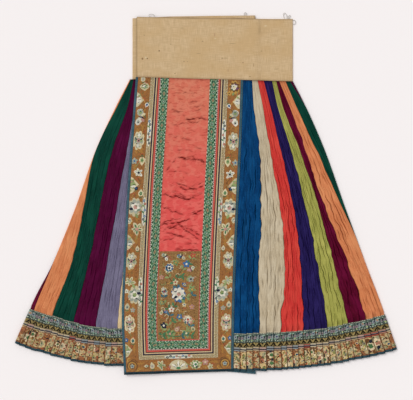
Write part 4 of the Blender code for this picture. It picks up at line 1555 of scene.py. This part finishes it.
class Needle:

    def __init__(self, name, canvas):
        self.name = name
        self.canvas = canvas
        self.points = []
        self.faces = []
        self.tints = []
        self.spot = None
        self.age = (1, 1, 1)  # how much of each colour worn floss keeps

    # Moves to a place on the cloth. window is the part of the cloth that the motif stays in.
    def move(self, across, upward, size=1, turn=0, window=None):
        self.spot = (across, upward, size, radians(turn))
        self.window = window

    def onCloth(self, point):
        across, upward, size, turn = self.spot
        return turnedAt(across, upward, point[0] * size, point[1] * size, turn)

    def add(self, point, height, tint):
        self.points.append(Vector(self.canvas(point[0], point[1], height)) * mm)
        self.tints.append(tint)
        return len(self.points) - 1

    def tint(self, thread):
        red, green, blue, _ = linear(threads[thread])
        much = 0.86 + 0.28 * chance(len(self.points), 3, 1)
        return (red * much * self.age[0], green * much * self.age[1], blue * much * self.age[2], 1)

    # A pad of satin stitch. layer counts the pads that it lies on.
    def pad(self, outline, thread, layer=0):
        outline = [self.onCloth(point) for point in outline]
        if self.window is not None:
            for axis, edge, side in self.window:
                outline = cutOutline(outline, axis, edge, side)
                if len(outline) < 3:
                    return
        turned = sum(p[0] * q[1] - q[0] * p[1] for p, q in zip(outline, outline[1:] + outline[:1]))
        if turned < 0:
            outline.reverse()
        tint = self.tint(thread)
        height = stitch["pad"] + stitch["layer"] * layer
        count = len(outline)
        middle = (sum(point[0] for point in outline) / count, sum(point[1] for point in outline) / count)
        inner = [[lerp(middle[axis], point[axis], stitch["shrink"]) for axis in (0, 1)] for point in outline]
        foot = [self.add(point, stitch["sunk"], tint) for point in outline]
        rim = [self.add(point, height - stitch["pad"] + stitch["edge"], tint) for point in outline]
        ring = [self.add(point, height, tint) for point in inner]
        top = self.add(middle, height * stitch["crown"], tint)
        below = self.add(middle, stitch["sunk"], tint)
        for i in range(count):
            j = (i + 1) % count
            self.faces += [(foot[i], foot[j], rim[j], rim[i]), (rim[i], rim[j], ring[j], ring[i]),
                           (ring[i], ring[j], top), (foot[j], foot[i], below)]

    # A ridge of cord or stem stitch along a line
    def cord(self, line, width, thread, layer=0):
        spots = [Vector(self.onCloth(point)) for point in line]
        if self.window is not None:
            spots = [spot for spot in spots if all((spot[axis] - edge) * side >= width / 2
                                                   for axis, edge, side in self.window)]
        if len(spots) < 2:
            return
        tint = self.tint(thread)
        width *= self.spot[2] ** 0.5
        height = stitch["pad"] + stitch["layer"] * layer
        rings = []
        for index, spot in enumerate(spots):
            ahead = aheadAt(spots, index)
            if ahead.length < 1e-6:
                return
            aside = Vector((-ahead.y, ahead.x)).normalized() * width / 2
            if index in (0, len(spots) - 1):
                aside *= 0.4
            section = ((-1, stitch["sunk"]), (-0.75, height), (0.75, height), (1, stitch["sunk"]))
            rings.append([self.add(spot + aside * part, out, tint) for part, out in section])
        for first, second in zip(rings, rings[1:]):
            for i in range(4):
                j = (i + 1) % 4
                self.faces.append((first[i], first[j], second[j], second[i]))
        self.faces += [tuple(reversed(rings[0])), tuple(rings[-1])]

    # Makes the mesh of all that was drawn
    def finish(self, slot):
        mesh = bpy.data.meshes.new(self.name)
        mesh.from_pydata(self.points, [], self.faces)
        form = bmesh.new()
        form.from_mesh(mesh)
        bmesh.ops.recalc_face_normals(form, faces=form.faces[:])
        form.to_mesh(mesh)
        form.free()
        dye = mesh.attributes.new("thread", "FLOAT_COLOR", "POINT")
        for index, tint in enumerate(self.tints):
            dye.data[index].color = tint
        mesh.shade_smooth()
        mesh.set_sharp_from_angle(angle=radians(stitch["sharp"]))
        mesh.materials.append(finishes["floss"])
        piece = addObject(self.name, mesh)
        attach(piece, "root")


# Outlines

def oval(a, b, halfA, halfB, turn=0, count=8):
    points = []
    for i in range(count):
        angle = 2 * pi * i / count
        points.append(turnedAt(a, b, halfA * cos(angle), halfB * sin(angle), turn))
    return points


# An oval with lobes, as a flower seen from the front
def lobed(a, b, halfA, halfB, lobes, depth, turn=0):
    points = []
    for i in range(lobes * 3):
        angle = 2 * pi * i / (lobes * 3) + turn
        size = 1 - (depth if i % 3 == 0 else 0)
        points.append((a + halfA * size * cos(angle), b + halfB * size * sin(angle)))
    return points


# A pointed petal or leaf from its foot outward
def petal(a, b, length, width, lean):
    half = ((0.3, 0.38), (0.62, 0.5), (0.88, 0.26))
    shape = ((0, 0),) + half + ((1, 0),) + tuple((along, -aside) for along, aside in reversed(half))
    return [turnedAt(a, b, along * length, aside * width, radians(lean)) for along, aside in shape]


def arc(a, b, radius, start, end, count=7):
    points = []
    for i in range(count):
        angle = radians(lerp(start, end, i / (count - 1)))
        points.append((a + radius * cos(angle), b + radius * sin(angle)))
    return points


# Motifs, common flowers, leaves and butterflies of ribbon work, each round its own middle

def ringOfPetals(needle, a, b, radius, size, petals, thread, layer, turn=0):
    for i in range(petals):
        lean = turn + 360 * i / petals
        foot = radians(lean)
        place = (a + radius * cos(foot), b + radius * sin(foot))
        needle.pad(petal(*place, size, size * 0.75, lean), thread, layer)


def rosette(needle, light="Cream", lace="Grey", core="Pink", mark="Navy"):
    needle.pad(lobed(0, 0, 13.5, 22, 8, 0.16, 0.2), light)
    needle.pad(lobed(0, 0, 10.5, 18, 8, 0.2, 0.2), lace, 1)
    for side in (-1, 1):
        needle.pad(petal(side * 1.5, 4, 11, 6.5, 90 - side * 34), light, 2)
        needle.pad(petal(side * 2, -4, 11, 6.5, -90 + side * 34), light, 2)
        needle.pad(oval(side * 6.5, 0, 2.2, 3.6), "Leaf", 2)
        needle.cord([(side * 8.4, 6.5), (side * 6.5, 2.5), (side * 2.4, 1.6)], 3.2, mark, 3)
    needle.pad(petal(0, 5, 11, 6.5, 90), "White", 3)
    needle.pad(petal(0, -5, 11, 6.5, -90), "White", 3)
    needle.pad(oval(0, 0, 4.2, 4.8), core, 3)
    needle.pad(oval(0.4, -0.4, 2, 2.3), mark, 4)
    needle.cord([(-5.5, -6.5), (-1.5, -8.5), (3.5, -7.5)], 3, mark, 3)
    needle.cord([(-4.5, 9.5), (-0.5, 8.2), (4, 9.2)], 2.2, "Green", 3)


def ogee(needle, light="Cream", lace="Leaf", mark="Bronze"):
    needle.pad([(-12, 0), (-9, 4), (-4.5, 6), (-1, 10), (4, 9), (8, 5), (12, 0), (9, -4.5), (5, -7),
                (1, -10.5), (-4, -8), (-9, -5)], light)
    needle.pad(lobed(0, 0, 8.2, 6.6, 6, 0.22), lace, 1)
    needle.pad(petal(-6, -1, 9, 5, 24), "White", 2)
    needle.pad(petal(6, 0, 9, 4.5, 200), "Grey", 2)
    needle.cord([(-6.5, 1.5), (-1.5, 4.4), (4.5, 2.6)], 2.6, mark, 3)
    needle.pad(oval(1.4, -1.2, 2, 1.6), "Green", 3)


# Half a lotus that grows from the ribbon's outer edge
def halfLotus(needle, light="Cream", lace="Grey", mark="Navy"):
    needle.pad([(-2, -18), (4, -16), (9, -10.5), (12.5, -5), (17.5, 0.5), (13, 5.5), (9, 10), (5, 15),
                (-2, 19)], light)
    needle.pad([(-2, -14), (3, -12.5), (8, -7), (12.5, 0), (8, 6.5), (4, 11), (-2, 14)], lace, 1)
    needle.pad(petal(-1, -3, 13, 6, 0), "White", 2)
    needle.pad(petal(-1, 5, 11, 5.5, 38), "Leaf", 2)
    needle.pad(petal(-1, -6, 11, 5.5, -40), light, 2)
    needle.cord([(-1, 1.6), (4, 0.4), (9.5, 1.6)], 3.6, mark, 3)
    needle.cord([(-1, -7.6), (4, -6.2), (7.5, -4)], 2.6, mark, 3)
    needle.pad(oval(2.4, 7.4, 2, 1.7), "Pink", 3)


def butterfly(needle, wing="Grey", light="White", mark="Navy"):
    needle.pad([(-3, 1), (-9, 7), (-8, 14), (-3, 20), (3, 19), (5, 13), (8, 8), (4, 1)], wing)
    needle.pad([(-4, -1), (-9, -8), (-10, -15), (-5, -20), (1, -18), (4, -12), (7, -7), (4, -1)], light)
    needle.pad(petal(1, 3, 12, 7.5, 34), "Cream", 1)
    needle.pad(petal(1, -3, 12, 7.5, -30), "Pink", 1)
    needle.pad(oval(-2, 11, 4.2, 4.6), "Leaf", 1)
    needle.pad(oval(-3, -11.5, 3.6, 4.2), "Grey", 1)
    needle.pad(oval(-1.6, 13.4, 1.7, 1.8), "Teal", 2)
    needle.pad(oval(-3.2, -12.6, 1.5, 1.7), mark, 2)
    needle.cord([(-11, 1.2), (-4, 0.2), (3, 0.4), (10, -2.2)], 4, mark, 2)
    needle.cord(arc(-3, 11.5, 6.8, 60, 200), 1.8, "White", 2)
    needle.cord([(6, 5), (10.5, 3.4), (12.5, -0.6)], 2.4, "Green", 2)


def bud(needle, light="Cream", heart="Leaf", mark="Pink"):
    needle.pad([(0, 9.5), (3, 5.5), (6, 1.5), (6.2, -3.5), (3.2, -7.6), (-2.5, -8), (-6, -4.5), (-6, 1),
                (-3, 5.5)], light)
    needle.pad(lobed(0, -1.4, 3.9, 5, 5, 0.2), heart, 1)
    needle.pad(oval(0, -1.6, 1.7, 1.9), mark, 2)
    needle.cord([(-4.6, -8.6), (0, -11), (4.8, -9.2)], 2.6, "Green", 1)


def littleFlower(needle, tint="Blue", heart="White", petals=5):
    for i in range(petals):
        angle = radians(360 * i / petals + 18)
        needle.pad(oval(4 * cos(angle), 4 * sin(angle), 2.9, 2.4, angle, 7), tint, 1)
    needle.pad(oval(0, 0, 2.1, 2.1, 0, 6), heart, 2)


def peony(needle, outer="Cream", inner="Grey", heart="Pink", mark="Navy"):
    needle.pad(lobed(0, 0, 17, 22, 9, 0.18, 0.1), outer)
    ringOfPetals(needle, 0, 1, 4.5, 12.5, 8, inner, 1, 12)
    ringOfPetals(needle, 1, 1, 1.5, 9.5, 6, "White", 2, 40)
    needle.pad(lobed(1, 0, 5.2, 5.6, 5, 0.2), heart, 3)
    needle.pad(oval(2.6, 2.6, 1.8, 1.8), "Green", 4)
    needle.pad([(-15, -5), (-9, -1), (-4, -2), (-3, -6), (-9, -7.5)], mark, 3)
    needle.cord([(-9, 10), (-4, 8), (1, 10.5)], 3.2, mark, 3)
    needle.cord([(5, -10), (9, -6), (13, -6.5)], 2.8, "Green", 3)
    needle.pad(petal(2, -15, 12, 6.5, -58), "Leaf", 2)


def leafSpray(needle, light="Cream", heart="Green", extra="Pink"):
    for lean, length, vein in ((100, 16, heart), (42, 14, "Leaf"), (160, 12, heart), (-28, 13, heart),
                                  (-110, 15, heart), (205, 10, heart)):
        angle = radians(lean)
        needle.pad(petal(0, 0, length, length * 0.56, lean), light, 0)
        needle.pad(petal(1.4 * cos(angle), 1.4 * sin(angle), length * 0.66, length * 0.24, lean), vein, 1)
    needle.pad(oval(0, 0, 3.4, 3.4), extra, 2)


# Half a flower like a fan, in the middle of the foot
def fanFlower(needle):
    needle.pad([(-24, -8), (-22, 2), (-16, 9), (-8, 12.5), (0, 14), (8, 12.5), (16, 9), (22, 2), (24, -8),
                (10, -11), (-10, -11)], "Cream")
    for i in range(7):
        lean = 14 + 25.5 * i
        foot = 2.5 * cos(radians(lean))
        needle.pad(petal(foot, -8, 19, 6.2, lean), "White" if i % 2 else "Cream", 1)
        if i < 6:
            angle = radians(lean + 12.7)
            needle.cord([(7 * cos(angle), -8 + 7 * sin(angle)),
                         (14 * cos(angle), -8 + 13 * sin(angle))], 3, "Navy", 2)
    needle.pad(oval(0, -7, 6, 3.4), "Green", 3)
    needle.pad(oval(-21, -3, 3, 3), "Pink", 2)
    needle.pad(oval(21, -3, 3, 3), "Grey", 2)


# Gold cord wound round a small flower, in the ribbon's corners
def cornerScroll(needle):
    for radius, start, end, thread in ((14, -60, 215, "Bronze"), (10.2, -20, 250, "Gold"),
                                       (6.6, 30, 330, "Bronze")):
        needle.cord(arc(0, 0, radius, start, end, 16), 2.6, thread)
    needle.cord([(7, -13), (12, -14), (18, -13), (21, -9), (19, -6), (16, -7)], 2.6, "Gold")
    needle.cord([(-11, 8), (-13, 14), (-11, 21), (-7, 23), (-5, 20)], 2.6, "Gold")
    needle.cord([(-4, 14), (2, 18), (9, 17), (12, 12), (17, 12)], 2.4, "Bronze")
    littleFlower(needle, "Grey", "Blue")


# Ribbons of the panel. Places are in millimetres across from the panel's edge and up from its foot.
def panelCanvas(across, upward, height):
    return panelPoint(across, upward, layers["ribbonOut"] + 0.25 + height)


# A window's edges: axis, place, and the side that is kept. Motifs reach a little over the braid.
ribbonEdge = bindingSide + 0.8
sideWindow = ((0, ribbonEdge, 1), (0, 51.5, -1), (1, panel["length"] - 0.6, -1))
footWindow = ((1, bindingFoot + 0.8, 1), (1, 48.5, -1))

# Down one side: motif, place across, place upward, size, turn, threads
sideMotifs = (
    (bud, 20, 776, 1, 0, "Cream Grey Pink"),
    (ogee, 26, 756, 1.12, 0, ""),
    (halfLotus, 7.5, 722, 1.12, 0, "Cream White"),
    (bud, 35, 708, 0.8, 150, "White Blue Navy"),
    (butterfly, 21, 678, 1.12, 0, ""),
    (rosette, 20.5, 616, 1.16, 0, ""),
    (littleFlower, 13, 560, 1.3, 0, "Grey Blue"),
    (bud, 33, 560, 1.3, 180, "Cream Leaf Green"),
    (leafSpray, 26, 528, 0.9, 60, "White Grey Navy"),
    (halfLotus, 7.5, 496, 1.25, 0, "Cream Leaf"),
    (littleFlower, 22, 487, 0.9, 0, "Navy Blue"),
    (bud, 36, 478, 1.1, 0, "Cream Green Leaf"),
    (peony, 22.5, 440, 1.14, 0, ""),
    (ogee, 10, 405, 0.75, 90, "Cream Grey"),
    (leafSpray, 31, 382, 1.25, 20, ""),
    (halfLotus, 7.5, 347, 1.15, 0, "Cream Grey"),
    (bud, 34, 330, 0.8, 0, "Cream Grey Red"),
    (rosette, 20, 299, 1.08, 0, "Cream Grey Pink"),
    (leafSpray, 20, 246, 1.05, 100, "Cream Leaf Grey"),
    (peony, 34, 210, 1.12, 180, "Cream Grey Leaf"),
    (littleFlower, 10.5, 217, 0.9, 0, "White Leaf"),
    (bud, 14.5, 180, 1.05, 0, "Cream Grey Navy"),
    (littleFlower, 29, 170, 1, 0, "Grey Pink"),
    (rosette, 20, 131, 1.12, 0, "Cream Pink Grey"),
    (bud, 28, 91, 1, 0, "Cream Teal Green"),
    (littleFlower, 10.5, 91, 0.9, 0, "Blue White"),
    (halfLotus, 7.5, 62, 1, 0, "Cream Leaf"),
)
# Instead of the first two, at the top of the right side
rightTop = (
    (peony, 23, 762, 0.86, "Gold Bronze Cream Plum"),
    (littleFlower, 36, 742, 1, "Gold Bronze"),
)
footMotifs = (
    (bud, 60, 21, 0.66, 90, "Cream Grey Navy"),
    (bud, 76, 22, 1.05, 8, "Cream Grey Pink"),
    (leafSpray, 100, 22, 0.95, 30, "Cream Green Leaf"),
    (fanFlower, 146, 21, 1.08, 0, ""),
    (peony, 192, 21, 0.72, 90, "Cream Leaf Green"),
    (littleFlower, 218, 27, 1.3, 0, "Pink Cream"),
    (leafSpray, 231, 14, 0.65, 0, "Cream Grey Leaf"),
    (littleFlower, 119, 12, 0.8, 0, "Red Gold"),
)


# Curling stems between the motifs
def scrollStems(needle, first, last, middle, sway, upright, window):
    steps = stepsBetween(first, last, 7)
    line = []
    for along in steps:
        aside = middle + sway * sin(along / 11) + 2 * waver(along / 9, middle, 3)
        line.append((aside, along) if upright else (along, aside))
    needle.move(0, 0, window=window)
    for index in range(0, len(line) - 3, 3):
        needle.cord(line[index:index + 4], 1.8, ("Bronze", "Gold", "Leaf")[index // 3 % 3])
    for index in range(2, len(line), 3):
        a, b = line[index]
        radius = 3 + 1.5 * chance(index, 5)
        start = 360 * chance(index, 6)
        needle.cord(arc(a, b, radius, start, start + 250, 7), 1.6, ("Gold", "Bronze", "Red")[index % 3])


def embroiderPanelRibbon():
    width = panel["width"]
    for mirror, name in ((1, "left"), (-1, "right")):
        def canvas(across, upward, height):
            return panelCanvas(across if mirror > 0 else width - across, upward, height)

        needle = Needle("panel_ribbon_flowers_" + name, canvas)
        scrollStems(needle, 60, 772, 23, 9.5, True, ((0, ribbonEdge + 1, 1), (0, 39.5, -1)))
        for index, (motif, across, upward, size, turn, dyes) in enumerate(sideMotifs):
            jitter = 2 * (chance(index, mirror) - 0.5)
            if mirror < 0 and index < len(rightTop):
                motif, across, upward, size, dyes = rightTop[index]
            needle.move(across + jitter * 0.5, upward + jitter * 2, size, turn + jitter * 6, sideWindow)
            motif(needle, *dyes.split())
        needle.move(23, 22, 0.95)
        cornerScroll(needle)
        needle.finish("brown_ribbon")
    needle = Needle("panel_ribbon_flowers_foot", panelCanvas)
    scrollStems(needle, 56, 240, 22, 8, False, ((1, 9, 1), (1, 36.5, -1)))
    for motif, across, upward, size, turn, dyes in footMotifs:
        needle.move(across, upward, size, turn, footWindow)
        motif(needle, *dyes.split())
    needle.finish("brown_ribbon")


# Light reserves with a flowering twig, that break the speckled braid
def embroiderReserves():
    middle, footMiddle = (panelBorder[0][part] + panelBorder[1][part] + panelBorder[2][part] / 2
                          for part in (1, 2))
    outline = [(-38, -0.8), (-30, -3.6), (-20, -5.2), (20, -5.2), (30, -3.6), (38, -0.8), (38, 0.8),
               (30, 3.6), (20, 5.2), (-20, 5.2), (-30, 3.6), (-38, 0.8)]
    needle = Needle("panel_braid_twigs", panelCanvas)
    places = []
    for upward in (637, 428, 217):
        places += [(middle, upward, 90), (panel["width"] - middle, upward, 90)]
    places.append((panel["width"] / 2, footMiddle, 0))
    for number, (across, upward, turn) in enumerate(places):
        needle.move(across, upward, 1, turn)
        needle.pad(outline, "White")
        needle.cord([(-33, 1), (-20, -1.5), (-7, 1.6), (7, -1.2), (20, 1.6), (33, -1)], 2, "Green", 1)
        for index in range(8):
            a = -29 + 8.2 * index
            side = 1 if index % 2 else -1
            tint = ("Leaf", "Green", "Red", "Blue", "Navy")[int(5 * chance(index, number, 2))]
            if tint in ("Leaf", "Green"):
                needle.pad(petal(a, 0, 8.5, 4.6, 48 * side), tint, 1)
            else:
                needle.pad(lobed(a, 1.4 * side, 3.8, 3.2, 5, 0.2), tint, 1)
                needle.pad(oval(a, 1.4 * side, 1.2, 1.2, 0, 6), "White", 2)
    needle.finish("speckled_braid")


# The square near the panel's foot: a generic spray of garden flowers, leaves and butterflies
squareStems = (
    # width, thread, points across and upward inside the square
    (3.4, "Bronze", ((30, 4), (34, 26), (28, 50), (36, 76), (50, 98), (54, 124), (46, 150), (54, 176),
                     (70, 196))),
    (2.4, "Green", ((31, 44), (46, 54), (62, 56), (80, 50))),
    (2.4, "Bronze", ((36, 76), (24, 88), (14, 104), (16, 120))),
    (2.4, "Green", ((52, 104), (68, 112), (84, 112), (94, 122))),
    (2.4, "Bronze", ((48, 146), (34, 156), (24, 172), (26, 190))),
    (2.2, "Green", ((52, 170), (68, 168), (82, 160))),
    (2.8, "Leaf", ((70, 4), (74, 18), (84, 28), (88, 40))),
    (2.2, "Leaf", ((12, 4), (12, 20), (18, 32))),
    (2.2, "Bronze", ((70, 196), (82, 206), (86, 220))),
    (3, "Green", ((4, 8), (26, 11), (50, 8), (76, 11), (100, 8))),
)
squareFlowers = (
    # motif, place across, place upward, size, turn, threads
    (peony, 54, 120, 1.08, 20, "Blue White Pink Navy"),
    (peony, 27, 190, 0.66, -30, "Cream Blue Navy Navy"),
    (peony, 80, 52, 0.7, 60, "Pink Cream Red Plum"),
    (rosette, 17, 128, 0.6, 20, "Cream Blue Red Navy"),
    (leafSpray, 89, 132, 0.84, 20, "Leaf Green Gold"),
    (littleFlower, 72, 200, 1.5, 0, "Blue White"),
    (littleFlower, 88, 222, 1.2, 20, "Red Gold"),
    (littleFlower, 85, 160, 1.35, 10, "Grey Navy"),
    (littleFlower, 37, 80, 1.2, 0, "White Red"),
    (littleFlower, 58, 60, 1.2, 30, "Blue Cream"),
    (littleFlower, 17, 38, 1.4, 0, "Navy White"),
    (littleFlower, 90, 86, 1.1, 0, "Pink Gold"),
    (littleFlower, 45, 152, 1.15, 0, "Cream Red"),
    (littleFlower, 8, 166, 1, 0, "Pink Gold"),
    (littleFlower, 70, 92, 0.9, 0, "Cream Blue"),
    (butterfly, 58, 220, 0.6, 70, "Blue Cream Navy"),
    (butterfly, 84, 186, 0.55, -60, "White Pink Plum"),
    (butterfly, 17, 74, 0.58, 100, "Cream Blue Navy"),
    (butterfly, 16, 220, 0.58, 40, "Grey White Navy"),
    (bud, 52, 28, 1, -40, "Pink Cream Red"),
    (bud, 93, 28, 0.9, 20, "Cream Leaf Plum"),
    (bud, 68, 146, 0.8, 60, "Blue Cream Navy"),
    (leafSpray, 33, 16, 0.95, 0, "Leaf Green Pink"),
    (leafSpray, 76, 16, 0.85, 40, "Leaf Teal Cream"),
    (leafSpray, 44, 204, 0.7, 40, "Leaf Green Gold"),
    (leafSpray, 12, 98, 0.6, 80, "Leaf Teal Gold"),
)


def embroiderSquare():
    left = borderSide + panel["squareMargin"]
    bottom = borderFoot + panel["squareMargin"]

    def canvas(across, upward, height):
        return panelPoint(left + across, bottom + upward, layers["ribbonOut"] + height)

    needle = Needle("panel_square_garden_spray", canvas)
    window = ((0, 2, 1), (0, 102, -1), (1, 2, 1), (1, 232, -1))
    needle.move(0, 0, window=window)
    for width, thread, points in squareStems:
        needle.cord(points, width, thread)
        for index, (start, end) in enumerate(zip(points, points[1:])):
            a, b = (lerp(start[axis], end[axis], 0.5) for axis in (0, 1))
            side = 1 if index % 2 else -1
            along = degrees(atan2(end[1] - start[1], end[0] - start[0]))
            tint = ("Green", "Leaf", "Teal")[index % 3]
            for lean, size in ((50, 13), (-46, 11)):
                needle.pad(petal(a, b, size, 6, along + side * lean), tint, 1)
    # Small scrolls fill the ground between
    for index in range(150):
        a = 6 + 92 * chance(index, 21)
        b = 5 + 226 * chance(index, 22)
        start = 360 * chance(index, 23)
        needle.cord(arc(a, b, 2.6 + 3 * chance(index, 24), start, start + 220, 6), 1.6,
                    ("Gold", "Bronze", "Leaf", "Red", "Cream", "Gold")[index % 6])
    for motif, across, upward, size, turn, dyes in squareFlowers:
        needle.move(across, upward, size, turn, window)
        motif(needle, *dyes.split())
    needle.finish("gold_embroidery")


# Hem ribbon: every pleat shows another slice of its flowers, cut at the pleat's edges
hemKinds = (
    (rosette, "Cream Grey Pink"), (peony, "Cream Grey Pink"),
    (leafSpray, "Cream Grey Pink"), (butterfly, "Cream White"),
    (ogee, "Cream Grey"), (peony, "Cream Bronze Green"),
    (bud, "Cream Blue Navy"), (rosette, "Cream Leaf Grey"),
)
# Heights of the motifs in a pleat, and their sizes: the first plans show one slice of a large flower
hemPlans = (
    ((24,), 1.25), ((30, 9), 1), ((34, 15), 0.9), ((36, 8, 22), 0.7), ((13, 35), 1),
    ((37, 9, 28, 18), 0.6), ((18,), 1.15),
)
hemSeeds = ("Navy", "Bronze", "Bronze", "Green", "Bronze", "Gold", "Navy", "Red")


def embroiderHem(section):
    wide = pleats["shown"]
    tall = hemBorder[3][1]
    needle = Needle(section.label + "_hem_flowers", None)
    needle.age = (0.95, 0.8, 0.6)
    window = ((0, 0.7, 1), (0, wide - 0.9, -1), (1, 0.6, 1), (1, tall - 0.6, -1))
    for line in section.hemPleats():
        needle.canvas = section.hemCanvas(line, hemBorder[-1][1])
        heights, scale = hemPlans[int(chance(line, 51, section.side) * len(hemPlans))]
        for step, height in enumerate(heights):
            luck, sideways, bigger, higher = (chance(line, step + part, section.side)
                                              for part in (0, 6, 12, 18))
            motif, dyes = hemKinds[int(luck * len(hemKinds))]
            needle.move(lerp(-2, wide + 2, sideways), height + 6 * (higher - 0.5),
                        scale * lerp(0.85, 1.15, bigger), 360 * luck, window)
            motif(needle, *dyes.split())
        needle.move(0, 0, window=window)
        for step, thread in enumerate(hemSeeds):
            across, upward, turn = (chance(line, step + part, section.side) for part in (24, 32, 40))
            a = lerp(2, wide - 2, across)
            b = lerp(3, tall - 3, upward)
            needle.pad(oval(a, b, 2, 1.4, 3 * turn, 6), thread, 3)
    needle.finish("brown_ribbon")


embroiderPanelRibbon()
embroiderReserves()
embroiderSquare()
for section in (right, left):
    embroiderHem(section)
print("motifs embroidered")

# Running stitches of sewing thread
sewing = {
    "long": 3,
    "every": 5.5,
    "width": 0.8,
    "inBinding": 1.2,  # from the binding's inner edge
    "inRibbon": 1,
    "fromWaist": 4,
    "hemLong": 2.8,
    "hemStarts": (2, 7, 12),
}


def sewLine(name, canvas, path, thread, slot):
    needle = Needle(name, canvas)
    needle.move(0, 0)
    for first, second in zip(path, path[1:]):
        run = dist(first, second)
        count = max(1, round(run / sewing["every"]))
        for index in range(count):
            start = (index + 0.2) / count
            end = start + sewing["long"] / sewing["every"] / count
            needle.cord([(lerp(first[0], second[0], share), lerp(first[1], second[1], share))
                         for share in (start, (start + end) / 2, end)], sewing["width"], thread)
    needle.finish(slot)


def sewPanel():
    width, length = panel["width"], panel["length"] - sewing["fromWaist"]
    binding, ribbons = sewing["inBinding"], sewing["inRibbon"]
    for name, side, foot, lift, thread, slot in (
            ("binding", bindingSide - binding, bindingFoot - binding, -0.05, "Teal", "teal_binding"),
            ("ribbon", borderSide - ribbons, borderFoot - ribbons, 0, "White", "green_ribbon")):
        def canvas(across, upward, height):
            return panelPoint(across, upward, layers["ribbonOut"] + lift + height)

        path = [(side, length), (side, foot), (width - side, foot), (width - side, length)]
        sewLine("panel_" + name + "_stitches", canvas, path, thread, slot)


def sewHem(section):
    needle = Needle(section.label + "_hem_stitches", None)
    edge = hemBorder[-1][1] - sewing["inRibbon"]
    for line in section.hemPleats():
        needle.canvas = section.hemCanvas(line, 0)
        needle.move(0, 0)
        for start in sewing["hemStarts"]:
            points = [(start + sewing["hemLong"] * share, edge) for share in (0, 0.5, 1)]
            needle.cord(points, sewing["width"], "Teal")
    needle.finish("teal_binding")


sewPanel()
for section in (right, left):
    sewHem(section)
print("stitches sewn")

# Floor and light: a pale plain table under a soft lamp at the upper left
studio = {
    "floor": "fcf8f7",
    "sun": 1.45,
    "sunTint": (1, 0.985, 0.965),
    "sunFrom": (-0.62, 0.45, 1),
    "softness": 30,
    "sky": 0.62,
    "skyTint": "f8f6f8",
}


def makeStudio():
    bpy.ops.mesh.primitive_plane_add(size=8, location=(0, 0, -0.0002))
    floor = bpy.context.active_object
    floor.name = "floor"
    finish = bpy.data.materials.new("matt paper backdrop")
    finish.use_nodes = True
    shader = finish.node_tree.nodes["Principled BSDF"]
    shader.inputs["Base Color"].default_value = linear(studio["floor"])
    shader.inputs["Roughness"].default_value = 0.9
    shader.inputs["Specular IOR Level"].default_value = 0.1
    floor.data.materials.append(finish)
    lamp = bpy.data.lights.new("soft lamp", "SUN")
    lamp.energy = studio["sun"]
    lamp.angle = radians(studio["softness"])
    lamp.color = studio["sunTint"]
    stand = addObject("soft lamp", lamp)
    stand.rotation_euler = Vector(studio["sunFrom"]).to_track_quat("Z", "Y").to_euler()
    world = bpy.data.worlds.new("studio")
    bpy.context.scene.world = world
    world.use_nodes = True
    sky = world.node_tree.nodes["Background"]
    sky.inputs["Color"].default_value = linear(studio["skyTint"])
    sky.inputs["Strength"].default_value = studio["sky"]
    bpy.context.scene.view_settings.view_transform = "Standard"


makeStudio()
print("studio lit")
